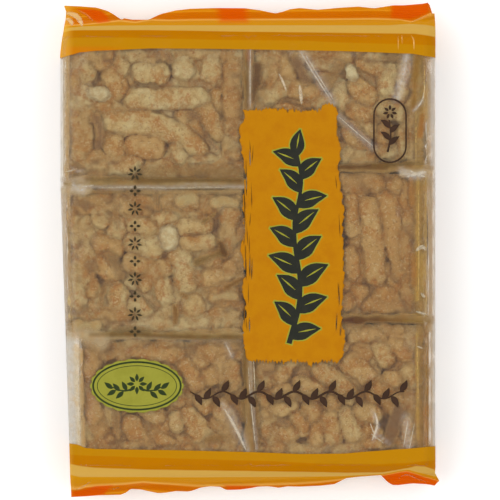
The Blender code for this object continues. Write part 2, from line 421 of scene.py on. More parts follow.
def block_faces(column, row):
    left, right, lower, upper = block_box(column, row)
    wide, long, deep = right - left, upper - lower, BLOCK_TOP - BLOCK_LOW
    return [
        Face((left, lower, BLOCK_TOP), (1, 0, 0), (0, 1, 0), (0, 0, 1), wide, long),
        Face((left, lower, BLOCK_LOW), (1, 0, 0), (0, 1, 0), (0, 0, -1), wide, long),
        Face((left, lower, BLOCK_LOW), (0, 1, 0), (0, 0, 1), (-1, 0, 0), long, deep),
        Face((right, lower, BLOCK_LOW), (0, 1, 0), (0, 0, 1), (1, 0, 0), long, deep),
        Face((left, lower, BLOCK_LOW), (1, 0, 0), (0, 0, 1), (0, -1, 0), wide, deep),
        Face((left, upper, BLOCK_LOW), (1, 0, 0), (0, 0, 1), (0, 1, 0), wide, deep),
    ]


def free_ends(seat, heading, reach, clear):
    """How far a line can run both ways from its seat over the clear places of a face."""
    ends = []
    for side in (-1, 1):
        free = 0.0
        while free < reach:
            spot = seat + side * heading * (free + 1.0)
            if not (0 <= spot[0] < clear.shape[0] and 0 <= spot[1] < clear.shape[1]):
                break
            if not clear[int(spot[0]), int(spot[1])]:
                break
            free += 1.0
        ends.append(side * free)
    return ends


def longest_run(seat, reach, clear, draw):
    """The two ends and the heading of the longest of several free runs through a seat."""
    best = None
    for turn in range(HEADINGS):
        angle = math.pi * (turn + draw.random()) / HEADINGS
        heading = np.array([math.cos(angle), math.sin(angle)])
        ends = free_ends(seat, heading, reach, clear)
        run = (ends[1] - ends[0]) * draw.uniform(0.75, 1.0)
        if best is None or run > best[0]:
            best = (run, ends, heading)
    return best[1], best[2]


def bent_strand(face, seat, ends, heading, radius, draw):
    """Three points of a slightly bent line through the seat, kept inside the face."""
    bend = np.array([-heading[1], heading[0]]) * draw.uniform(-STRAND_BEND, STRAND_BEND)
    points = np.array([
        seat + heading * ends[0],
        seat + heading * (ends[0] + ends[1]) / 2 + bend,
        seat + heading * ends[1],
    ])
    inset = 0.8 * radius
    return np.clip(points, inset, (face.width - inset, face.height - inset))


def fill_face(face, laid, holes, draw):
    """Adds strands where a face is still bare, each along the longest free run through the barest place.

    The last ones lie under the others, where only narrow gaps are left.
    """
    columns = int(face.width)
    rows = int(face.height)
    cells = np.array([(i + 0.5, j + 0.5) for i in range(columns) for j in range(rows)], float)
    gap = np.full(len(cells), WIDEST_GAP)
    for thick, _, points in laid:
        gap = np.minimum(gap, distance_to_line(cells, points) - thick / 2)
    for x, y, radius in holes:
        gap = np.minimum(gap, np.hypot(cells[:, 0] - x, cells[:, 1] - y) - radius)
    made = []
    under = False
    while True:
        barest = int(np.argmax(gap + np.array([draw.uniform(0, 0.5) for _ in range(len(gap))])))
        room = gap[barest]
        if room < SPARE_GAP and not under:
            under = True
            for x, y, radius in holes:
                inside = np.hypot(cells[:, 0] - x, cells[:, 1] - y) < radius + HOLE_MARGIN
                gap = np.where(inside, radius if radius < WIDE_HOLE else -9.0, gap)
            continue
        if room < UNDER_GAP:
            break
        radius = draw.uniform(*UNDER_RADIUS) if under else min(room + 2.8, draw.uniform(*STRAND_RADIUS))
        reach = draw.uniform(*UNDER_REACH) if under else draw.uniform(*STRAND_REACH)
        least = -UNDER_OVERLAP if under else radius - OVERLAP
        clear = gap.reshape(columns, rows) >= least
        ends, heading = longest_run(cells[barest], reach, clear, draw)
        points = bent_strand(face, cells[barest], ends, heading, radius, draw)
        if under:
            lift = draw.uniform(*UNDER_LIFT)
        else:
            lift = -0.3 * max(0.0, 4.4 - radius) - draw.uniform(0.0, 1.6)
        made.append((2 * radius, lift, points))
        gap = np.minimum(gap, distance_to_line(cells, points) - radius)
    return made


def unit(way):
    return way / max(np.linalg.norm(way), 1e-6)


def add_strand(curve, line, radius, draw):
    """One lumpy strand with round ends along the line, as a spline of the curve."""
    start_run = unit(line[0] - line[1])
    end_run = unit(line[-1] - line[-2])
    phase = Vector((draw.uniform(0, 99), draw.uniform(0, 99), draw.uniform(0, 99)))
    sway = Vector((0, 9, 0))
    middle = []
    for index, place in enumerate(line):
        along = index * STRAND_STEP
        lump = noise.noise(phase + Vector((along / 5.0, 0, 0)))
        shift = np.array(noise.noise_vector(phase + sway + Vector((along / 9.0, 0, 0))))
        middle.append((place + 0.7 * shift, 1.0 + 0.16 * lump))
    caps = []
    ends = ((start_run, middle[0], ROUND_END), (end_run, middle[-1], ROUND_END[::-1]))
    for run, (place, size), outs in ends:
        caps.append([(place + run * radius * 0.8 * out, size * math.sqrt(1 - out * out)) for out in outs])
    whole = caps[0] + middle + caps[1]
    spline = curve.splines.new("POLY")
    spline.points.add(len(whole) - 1)
    for point, (place, size) in zip(spline.points, whole):
        point.co = (*(place * MM), 1.0)
        point.radius = radius * size
    return np.array([place for place, _ in middle])


def rounded_depth(places, box, radius):
    """How deep each place lies inside a box with rounded edges, and the way out of it."""
    low, high = box
    middle = (low + high) / 2
    half = (high - low) / 2 - radius
    offset = places - middle
    over = np.abs(offset) - half
    outside = np.maximum(over, 0.0)
    length = np.sqrt((outside**2).sum(axis=1))
    inner = np.minimum(over.max(axis=1), 0.0)
    way = np.sign(offset) * outside / np.maximum(length, 1e-6)[:, None]
    flat = length < 1e-6
    axis = over.argmax(axis=1)
    unit = np.zeros_like(offset)
    unit[np.arange(len(axis)), axis] = np.sign(offset[np.arange(len(axis)), axis])
    way[flat] = unit[flat]
    return radius - length - inner, way


def strand_borders(places, lines):
    """How far each place is from where its strand meets the next one, and its strand's tone."""
    first = np.full(len(places), 50.0)
    second = np.full(len(places), 60.0)
    tone = np.zeros(len(places))
    for line, radius, own_tone in lines:
        reach = radius + 5.0
        near = ((places > line.min(axis=0) - reach) & (places < line.max(axis=0) + reach)).all(axis=1)
        index = np.nonzero(near)[0]
        away = distance_to_line(places[index], line) - radius
        closer = away < first[index]
        second[index] = np.where(closer, first[index], np.minimum(second[index], away))
        tone[index] = np.where(closer, own_tone, tone[index])
        first[index] = np.where(closer, away, first[index])
    return np.clip(second - first, 0.0, 9.0), tone


def strand_tubes(column, row, draw):
    """A block's strands as tubes in one bmesh, and each strand's line, radius and tone."""
    left, _, lower, _ = block_box(column, row)
    shown = []
    for thick, lift, *points in STRANDS[column, row]:
        shown.append((thick, lift, np.array(points, float) - (left, lower)))
    holes = [(x - left, y - lower, radius) for x, y, radius in HOLES[column, row]]
    curve = bpy.data.curves.new("strands", "CURVE")
    curve.dimensions = "3D"
    curve.bevel_depth = MM
    curve.bevel_resolution = 3
    curve.use_fill_caps = True
    lines = []
    for number, face in enumerate(block_faces(column, row)):
        laid = shown if number == 0 else []
        gaps = holes if number == 0 else []
        for thick, lift, flat in laid + fill_face(face, laid, gaps, draw):
            radius = thick / 2
            line = face.place(even_line(flat, STRAND_STEP), STRAND_SINK * radius - lift)
            line = add_strand(curve, line, radius, draw)
            tone = draw.uniform(0.0, 1.0) + WARMER.get((column, row), 0.0) if lift < PALE_LIFT else PALE_TONE
            lines.append((line, radius, tone))
    strands = bpy.data.objects.new("strands", curve)
    bpy.context.scene.collection.objects.link(strands)
    graph = bpy.context.evaluated_depsgraph_get()
    tubes = bpy.data.meshes.new_from_object(strands.evaluated_get(graph))
    bpy.data.objects.remove(strands, do_unlink=True)
    tubes.transform(Matrix.Scale(1 / MM, 4))
    mesh = bmesh.new()
    mesh.from_mesh(tubes)
    bpy.data.meshes.remove(tubes)
    return mesh, lines


def press_strands(skin, box, lines):
    """Presses the skin flat at the block's sides, grooved between strands, and notes it for the finish."""
    places = places_of(skin)
    depth, way = rounded_depth(places, box, BLOCK_EDGE)
    sunk = depth - PRESSED_DEPTH * (1 - PRESSED_SHARE)
    pressed = np.where(depth < PRESSED_DEPTH, depth * PRESSED_SHARE, sunk)
    apart, tone = strand_borders(places, lines)
    rise = GROOVE_DEPTH * np.exp(-((apart / GROOVE_WIDTH) ** 2)) + CROWN * np.exp(-apart / CROWN_WIDTH)
    places += way * (depth - pressed - rise)[:, None]
    put_places(skin, places)
    # The finish reads these: tone for each strand's colour, apart and depth for painted shade between strands
    # and deeper down
    write_values(skin, "tone", tone)
    write_values(skin, "apart", apart)
    write_values(skin, "depth", np.maximum(pressed, 0.0))
    return places


def roughen(block, box, places):
    """Lumps and crumb all over the block, less of them close to its edges."""
    inset = np.minimum(places[:, :2] - box[0, :2], box[1, :2] - places[:, :2]).min(axis=1)
    wanted = LOOSE_SHARES[0] + (1 - LOOSE_SHARES[0]) * smoothstep(0.4, 4.0, inset)
    loose = block.vertex_groups.new(name="loose")
    for share in LOOSE_SHARES:
        at_share = np.abs(wanted - share) <= 0.1
        loose.add([int(index) for index in np.nonzero(at_share)[0]], share, "REPLACE")
    for name, size, height in RELIEFS:
        texture = bpy.data.textures.new(name, "CLOUDS")
        texture.noise_scale = size * MM
        texture.noise_depth = 1
        relief = block.modifiers.new(name, "DISPLACE")
        relief.texture = texture
        relief.texture_coords = "LOCAL"
        relief.strength = height * MM
        relief.vertex_group = "loose"
        relief.mid_level = 0.5
    return shaped(block)


def dough_block(column, row, material):
    """A block of dough strands pressed together, with its values for the material."""
    draw = random.Random(700 + 10 * column + row)
    left, right, lower, upper = block_box(column, row)
    box = np.array([(left, lower, BLOCK_LOW), (right, upper, BLOCK_TOP)])
    mesh, lines = strand_tubes(column, row, draw)
    middle, size = (box[0] + box[1]) / 2, box[1] - box[0] - 2 * CORE_INSET
    bmesh.ops.create_cube(mesh, size=1.0, matrix=Matrix.LocRotScale(Vector(middle), None, Vector(size)))
    block = new_object(f"dough_{column + 1}_{row + 1}", mesh)
    remesh = block.modifiers.new("one_skin", "REMESH")
    remesh.mode = "VOXEL"
    remesh.voxel_size = VOXEL * MM
    places = press_strands(shaped(block), box, lines)
    skin = roughen(block, box, places)
    skin.materials.clear()
    skin.materials.append(material)
    skin.shade_smooth()
    return block


# The wrapper round each block
WRAP_GROW = 0.38
WRAP_RISE = 0.4
WRAP_CUTS = 46
WRAP_CLEARANCE = 0.15
WRAP_WRINKLE = 0.5
WRAP_ROUNDS = 80

# How far each layer lies off what is under it, and how hazy the films are
WRAPPER_REST = 0.2
FRONT_REST = 0.2
BACK_REST = 0.4
PRINT_LIFT = 0.1
WRAPPER_FOLDS_UNDER = 0.16
SHADED_UNDER = 0.26
BAG_FOLDS_LIFT = 0.16
WRAPPER_HAZE = 0.015
BAG_HAZE = 0.012

# Height maps of what lies under the film
MAP_PITCH = 1.0
MAP_X = np.arange(-84.0, 84.01, MAP_PITCH)
MAP_Y = np.arange(-108.0, 108.01, MAP_PITCH)
NOTHING = -99.0


def height_map(blocks, sign):
    """How far the dough stands out over each place of the map: to the front, or with sign -1 to the back."""
    heights = np.full((len(MAP_X), len(MAP_Y)), NOTHING)
    for block in blocks:
        places = places_of(block.data)
        i = np.clip(np.rint((places[:, 0] - MAP_X[0]) / MAP_PITCH).astype(int), 0, len(MAP_X) - 1)
        j = np.clip(np.rint((places[:, 1] - MAP_Y[0]) / MAP_PITCH).astype(int), 0, len(MAP_Y) - 1)
        np.maximum.at(heights, (i, j), sign * places[:, 2])
    return heights


def read_map(heights, x, y):
    """The map's height at each place, read between its points."""
    across = np.clip((x - MAP_X[0]) / MAP_PITCH, 0, len(MAP_X) - 1.001)
    along = np.clip((y - MAP_Y[0]) / MAP_PITCH, 0, len(MAP_Y) - 1.001)
    i, j = across.astype(int), along.astype(int)
    s, t = across - i, along - j
    lower = heights[i, j] * (1 - s) + heights[i + 1, j] * s
    upper = heights[i, j + 1] * (1 - s) + heights[i + 1, j + 1] * s
    return lower * (1 - t) + upper * t


def spread(heights):
    """Each place takes the highest of itself and its neighbours."""
    padded = np.pad(heights, 1, mode="edge")
    return np.max([
        padded[i:i + heights.shape[0], j:j + heights.shape[1]] for i in range(3) for j in range(3)
    ], axis=0)


def stretched(heights, rests_on, held, rounds):
    """A taut sheet over what it rests on: each free place sinks to its neighbours' mean or to the contact."""
    sheet = heights.copy()
    for _ in range(rounds):
        padded = np.pad(sheet, 1, mode="edge")
        mean = (padded[2:, 1:-1] + padded[:-2, 1:-1] + padded[1:-1, 2:] + padded[1:-1, :-2]) / 4
        sheet = np.where(held, heights, np.maximum(mean, rests_on))
    return sheet


# The print: generic leaves and flowers in the places and sizes of a pack's print
INKS = {
    "panel_ink": ((184, 121, 0), (178, 113, 0)),
    "streak_ink": ((128, 82, 12), (108, 70, 12)),
    "leaf_ink": ((38, 40, 34), (46, 46, 38)),
    "leaf_edge_ink": ((152, 150, 48), (144, 142, 44)),
    "badge_ink": ((148, 146, 54), (140, 138, 48)),
    "badge_line_ink": ((42, 54, 26), (50, 60, 32)),
    "brown_ink": ((58, 40, 28), (66, 46, 34)),
    "dark_ink": ((58, 50, 32), (68, 58, 40)),
}
INK_STEP = 1.3
INK_THICK = 0.05
OUTLINE_GROW = 0.55
LEAF_PROFILE = (0.06, 0.6, 0.92, 1.0, 0.9, 0.68, 0.38, 0.03)
PANEL_LOW = (-2.0, -47.6)
PANEL_HIGH = (37.6, 58.8)
PANEL_LEFT = (
    (-47.6, 0.4), (-45.4, -1.4), (-33, -2.9), (-26.3, -1.0), (-16.2, -3.1), (-9.5, -1.2), (0.6, -3.9),
    (7.3, -1.8), (20.8, -2.8), (30.8, -1.4), (44.3, -3.6), (51, -4.2), (54.4, -2.3), (58.8, -2.1),
)
PANEL_RIGHT = (
    (-47.6, 37.0), (-45, 38.8), (-36.4, 40.0), (-29.6, 38.0), (-12.8, 39.4), (10.7, 38.7), (17.4, 39.6),
    (20.8, 38.5), (34.2, 37.0), (44.3, 38.0), (48.6, 36.2), (58.8, 36.8),
)
PANEL_TOP = ((-2.1, 58.2), (10.6, 59.3), (21.1, 58.2), (29.0, 58.3), (31.8, 61.3), (34.2, 61.0), (36.8, 59.4))
PANEL_BOTTOM = ((0.4, -47.2), (23.0, -47.5), (25.3, -49.0), (27.6, -47.6), (37.0, -46.9))
BRANCH_LINE = ((16.5, -39.5), (22.5, -18), (17.5, 8), (22.5, 28), (20, 39))
BRANCH_LEAVES = 14
STEM_WIDTHS = (2.2, 1.9, 1.6, 1.3)
STREAKS = 26
BADGE_MIDDLE = (-47.4, -57.3)
BADGE_HALF = (19.8, 11.4)
FRAME_MIDDLE = (58.9, 49.9)
FRAME_SIZE = (14.2, 27.3)
LINE = 0.7
# The badge's rings inside its edge: how far in at the sides and at the top, and ink
BADGE_RINGS = (
    (1.0, 1.0, "badge_line_ink"), (1.8, 1.8, "badge_ink"), (3.0, 2.8, "badge_line_ink"),
     (3.3, 3.1, "badge_ink"),
)
BADGE_LEAVES = ((4.2, -2.0, 62), (7.2, -2.2, 48), (10.2, -1.2, 38), (5.6, -2.4, -42), (8.8, -1.8, -30))
COLUMN_X = -48.2
COLUMN_TOP = 32.0
COLUMN_END = -34.5
COLUMN_MARKS = 10
VINE_SPAN = (-25.0, 65.0)
VINE_Y = -61.2
VINE_SWAY = 1.7
VINE_WAVE = 15.0
VINE_LEAF_PITCH = 3.75


# The bag's film
def half_gap(share):
    """Half of the bag's depth at a share of the way from its body to the crease."""
    open_part = np.maximum(0.0, 1.0 - share**END_POWER) ** (1.0 / END_POWER)
    return np.maximum(FIN_THICK / 2, MID_HEIGHT * open_part)


def film_rows():
    """For each section of the bag: place along it, share of the way to the crease, fin portion and end."""
    angles = np.linspace(0.0, math.pi / 2, END_STEPS + 1)
    shares = np.sin(angles)
    lower_end = BOTTOM_CREASE + BOTTOM_RUN
    upper_end = TOP_CREASE - TOP_RUN
    portions = np.linspace(1.0, 0.0, FIN_STEPS + 1)[:-1]
    rows = [(BOTTOM_CREASE, 1.0, portion, -1) for portion in portions]
    rows += [(lower_end - BOTTOM_RUN * share, share, 0.0, -1) for share in shares[::-1]]
    middle = np.linspace(lower_end, upper_end, BODY_STEPS + 1)[1:-1]
    rows += [(place, 0.0, 0.0, 0) for place in middle]
    rows += [(upper_end + TOP_RUN * share, share, 0.0, 1) for share in shares]
    rows += [(TOP_CREASE, 1.0, portion, 1) for portion in portions[::-1]]
    return rows


def film_section(y, share, portion, end):
    """One closed section as x, y, z arrays, from the front's left edge across, down and back round."""
    half = float(half_gap(share))
    if portion > 0.999:
        half = 0.0
    radius = min(EDGE_RADIUS, 0.8 * half)
    left, right = float(left_side(y)), RIGHT_SIDE
    if end > 0:
        left += float(np.interp(y + TOP_REACH[0][1] * portion, *zip(*TOP_LEFT_IN)))
    tuck = SIDE_CREASE + DEEPEST_TUCK * float(smoothstep(TUCK_START, TUCK_FULL, share))
    tuck *= 1.0 - float(smoothstep(TUCK_SHUT, 1.0, share))
    front = min(half, MID_HEIGHT - FRONT_SAG)
    back = min(half, MID_HEIGHT - BACK_SAG)
    across = np.linspace(left + radius, right - radius, PANEL_STEPS + 1)
    angles = np.linspace(0.0, math.pi / 2, EDGE_STEPS + 1)[1:]
    fold = np.linspace(0.0, 1.0, SIDE_STEPS + 1)[1:]
    sine, cosine = np.sin(angles), np.cos(angles)
    x, z = [across], [np.full(len(across), front)]
    x.append(right - radius + radius * sine)
    z.append(front - radius + radius * cosine)
    x.append(right - tuck * np.concatenate([fold, (1 - fold)[:-1]]))
    z.append(np.concatenate([(front - radius) * (1 - fold), -(back - radius) * fold[:-1]]))
    x.append(right - radius + radius * np.cos(np.concatenate([[0.0], angles])))
    z.append(radius - back - radius * np.sin(np.concatenate([[0.0], angles])))
    x.append(across[::-1][1:])
    z.append(np.full(PANEL_STEPS, -back))
    x.append(left + radius - radius * sine)
    z.append(radius - back - radius * cosine)
    x.append(left + tuck * np.concatenate([fold, (1 - fold)[:-1]]))
    z.append(np.concatenate([-(back - radius) * (1 - fold), (front - radius) * fold[:-1]]))
    x.append(left + radius - radius * np.cos(np.concatenate([[0.0], angles])))
    z.append(front - radius + radius * np.sin(np.concatenate([[0.0], angles])))
    x, z = np.concatenate(x), np.concatenate(z)
    slant = BOTTOM_SLANT if end < 0 else 0.0
    y = np.full(len(x), y) + slant * x * share
    if end != 0 and portion > 0.0:
        reach = np.minimum(FIN_WIDTH, np.interp(x, *zip(*(TOP_REACH if end > 0 else BOTTOM_REACH))))
        drop = np.sqrt(np.maximum(0.0, FIN_WIDTH**2 - reach**2))
        if end < 0:
            x = x + EAR * portion * smoothstep(*EAR_SPAN, x)
        y = y + end * reach * portion
        crimp = CRIMP_HEIGHT * math.sin(2 * math.pi * portion * FIN_WIDTH / CRIMP_PITCH)
        z = z - drop * portion + crimp * min(1.0, 6 * portion)
    return x, y, z + MID_HEIGHT


# Creases in the bag's front: width, height, how much they whiten the film as a painted highlight, and their
# line
CREASES = (
    (1.0, 0.35, 0.3, (-77.2, 27.9), (-67, 26.2), (-58.7, 25.8), (-46, 26.2), (-35.6, 25.8), (-25, 27.1),
     (-1.6, 26.2)),
    (0.8, 0.25, 0.3, (-75, 34.0), (-70, 32.4)),
    (0.9, 0.2, 0.1, (-65, -37.6), (-40, -37.4), (-20, -38.6), (-2, -38.6)),
    (2.0, 0.4, 0.5, (64, 33.0), (69, 30.5), (72.5, 31.5)),
    (1.3, 0.3, 0.3, (67.5, 80), (66, 72), (62.5, 63.5)),
    (1.0, 0.3, 0.4, (72.5, 62.5), (68.8, 58.3)),
    (1.2, 0.3, 0.0, (71.9, 78), (71.6, 40), (71.9, 0), (72.3, -40), (72.6, -82)),
    (0.9, 0.35, 0.3, (0.2, 84), (0.0, 60)),
    (0.9, 0.3, 0.3, (0.2, -40), (0.8, -62), (3.0, -84)),
    (1.4, 0.3, 0.3, (-10, -39.5), (-7.5, -45)),
    (1.6, 0.4, 0.35, (-11.5, -65), (-6, -74), (-1, -84)),
    (1.0, 0.3, 0.5, (51.5, -68), (54, -74), (52, -80)),
    (0.8, 0.3, 0.4, (54, -78), (58.5, -81.5)),
    (1.2, 0.4, 0.5, (76, 99.7), (72, 96.2), (69.5, 94.6)),
    (0.8, 0.25, 0.3, (61.5, 94), (61.2, 84)),
    (0.8, 0.25, 0.25, (67.5, 93), (66.5, 84)),
    (1.0, 0.4, 0.6, (-78, 100.6), (-73.8, 99.2), (-70.5, 94.6)),
    (1.0, 0.4, 0.6, (-78, 98.8), (-75, 96.7), (-73.8, 93.9)),
    (1.4, 0.3, 0.35, (-75, -41), (-73.8, -60), (-72.5, -80)),
    (2.4, 0.2, 0.5, (66.0, 81.2), (64.4, 73.3), (61.8, 63.6)),
    (2.2, 0.0, 0.6, (-79.4, 29.4), (-76.3, 27.5), (-70.5, 25.0)),
    (2.4, 0.0, 0.35, (21.8, 83), (28, 73), (35, 62)),
    (2.0, 0.0, 0.3, (37.4, 56), (46, 48), (52, 43)),
    (2.6, 0.0, 0.35, (65.5, -71), (66.5, -83)),
    (3.0, 0.0, 0.25, (-9, -68), (-3, -80)),
)

# Folds of the film: finish, width and line. Crisp ones of the inner wrappers, drawn as painted highlights,
# with one painted shade line
CRISP_FOLDS = (
    ("highlight_fold", 0.5, (21.2, 83.2), (27.3, 73), (34.2, 62.6)),
    ("highlight_fold", 0.45, (23.0, 82.4), (29.0, 72.6), (35.4, 62.4)),
    ("highlight_fold", 0.45, (37.6, 55.6), (45.0, 49.0), (51.6, 43.6)),
    ("highlight_fold", 1.0, (12.2, 73.9), (14.4, 69.6), (15.4, 66.4)),
    ("highlight_fold", 1.5, (20.9, 69.2), (21.4, 65.4), (21.8, 61.2)),
    ("highlight_fold", 0.4, (0.3, 84), (0.1, 74), (0.2, 60)),
    ("highlight_fold", 0.6, (73.6, 69.5), (73.0, 63.6), (70.6, 59.6), (68.4, 58.2)),
    ("highlight_fold", 0.5, (-77.6, 32.7), (-75.5, 32.9), (-72.6, 34.0)),
    ("highlight_fold", 0.6, (-70.5, 26.4), (-67.9, 26.6), (-65.4, 27.1)),
    ("gap_highlight", 0.9, (-42, 26.0), (-30, 25.7), (-20, 26.2), (-10, 26.0)),
    ("gap_highlight", 0.6, (-64, 25.8), (-48, 26.3), (-40, 25.8)),
    ("highlight_fold", 0.5, (-10.0, -39.8), (-7.4, -45.2)),
    ("highlight_fold", 1.2, (-10.6, -67), (-6.4, -74), (-1.6, -84.2)),
    ("highlight_fold", 0.45, (-0.6, -49.5), (0.2, -62), (2.6, -84)),
    ("highlight_fold", 0.4, (1.6, -46), (2.2, -60)),
    ("highlight_fold", 1.0, (52.6, -68.6), (54.0, -73.4), (51.4, -80.2)),
    ("highlight_fold", 0.6, (51.0, -77.4), (56.2, -81.4)),
    ("highlight_fold", 0.5, (50.6, -73.0), (53.0, -79.6)),
    ("highlight_fold", 0.45, (66.4, -72), (64.6, -83)),
    ("highlight_fold", 0.4, (69.2, -73), (67.0, -84)),
    ("highlight_fold", 0.4, (-71.6, -40), (-72.0, -58), (-70.8, -84)),
    ("fine_highlight", 0.45, (70.9, 27.1), (71.1, -0.2), (70.9, -21.2)),
    ("fine_highlight", 0.45, (70.5, -33.8), (70.2, -41.4), (70.7, -51.5), (70.7, -67.4)),
    ("fine_highlight", 0.4, (73.4, 77.5), (73.2, 63.6)),
    ("fine_highlight", 0.4, (69.8, 59.4), (69.8, 35.5)),
    ("highlight_fold", 1.4, (66.0, 30.4), (69.8, 31.9), (74.2, 32.6)),
    ("highlight_fold", 1.0, (67.2, 33.2), (70.6, 31.2), (73.8, 30.6)),
    ("highlight_fold", 1.6, (69.8, -0.6), (72.4, 1.6), (74.4, -0.4)),
    ("highlight_fold", 1.2, (71.9, -18.3), (73.6, -20.2)),
    ("highlight_fold", 1.0, (69.8, -26.0), (74.2, -27.3)),
    ("highlight_fold", 0.7, (70.2, -40.6), (72.8, -41.6)),
    ("shade_fold", 0.45, (74.4, 16.6), (74.7, 5.0), (74.7, -6.5)),
)
# Fine bright lines of the bag's own folds over the printed ends, the pale ones painted highlights
PRINT_FOLDS = (
    ("fan_highlight", 2.6, (-78.0, 99.9), (-75.3, 99.5), (-73.4, 98.7), (-71.9, 97.2), (-70.9, 95.3),
     (-70.4, 93.6)),
    ("fan_highlight", 2.2, (-78.0, 97.5), (-76.3, 97.1), (-75.2, 96.0), (-74.6, 94.0)),
    ("ember_fold", 1.1, (-73.6, 101.4), (-69.6, 99.7), (-67.1, 97.6), (-65.4, 95.5)),
    ("sun_highlight", 0.8, (67.3, 95.3), (70.7, 97.0), (76.3, 99.6)),
    ("sun_highlight", 0.8, (62.3, 90.2), (62.3, 83.2)),
    ("sun_highlight", 0.7, (64.0, 90.2), (64.0, 86.3)),
    ("sun_highlight", 0.9, (67.3, 90.2), (69.0, 88.6), (69.0, 83.4)),
    ("sun_highlight", 0.8, (-74.9, -99.8), (-73.0, -101.5), (-70.9, -100.2), (-67.9, -98.5), (-66.3, -96.8)),
    ("sun_highlight", 0.7, (-59.3, -101.5), (-54.5, -100.4)),
    ("ember_fold", 0.9, (62.3, -98.1), (63.1, -96.0), (65.2, -95.2), (66.9, -95.0), (71.5, -97.3),
     (76.5, -98.7)),
)
# Colours of a sheet of painted shade and painted light inside the bag, as they look through it
PAINTED_LIGHT_TONES = {
    "tan_film": (160, 130, 86), "straw_film": (162, 137, 92), "cream_film": (190, 171, 137),
    "light_film": (146, 126, 98), "shade_film": (120, 95, 60), "deep_film": (106, 79, 46),
    "black_film": (94, 67, 38), "umber_film": (132, 107, 70), "dusk_film": (122, 104, 73),
    "brown_film": (126, 93, 57), "olive_film": (143, 114, 64), "hollow_film": (112, 87, 66),
    "mauve_film": (130, 103, 81), "dim_film": (138, 112, 82), "russet_film": (140, 96, 50),
    "milk_film": (208, 203, 193), "butter_film": (208, 194, 166), "wheat_film": (192, 166, 121),
    "sand_film": (187, 168, 140), "smoke_film": (196, 184, 169), "clay_film": (179, 154, 118),
    "gilt_film": (170, 138, 72), "bronze_film": (150, 112, 50), "honey_film": (186, 154, 84),
    "amber_film": (166, 112, 46), "oat_film": (176, 150, 106), "pith_film": (184, 164, 120),
}
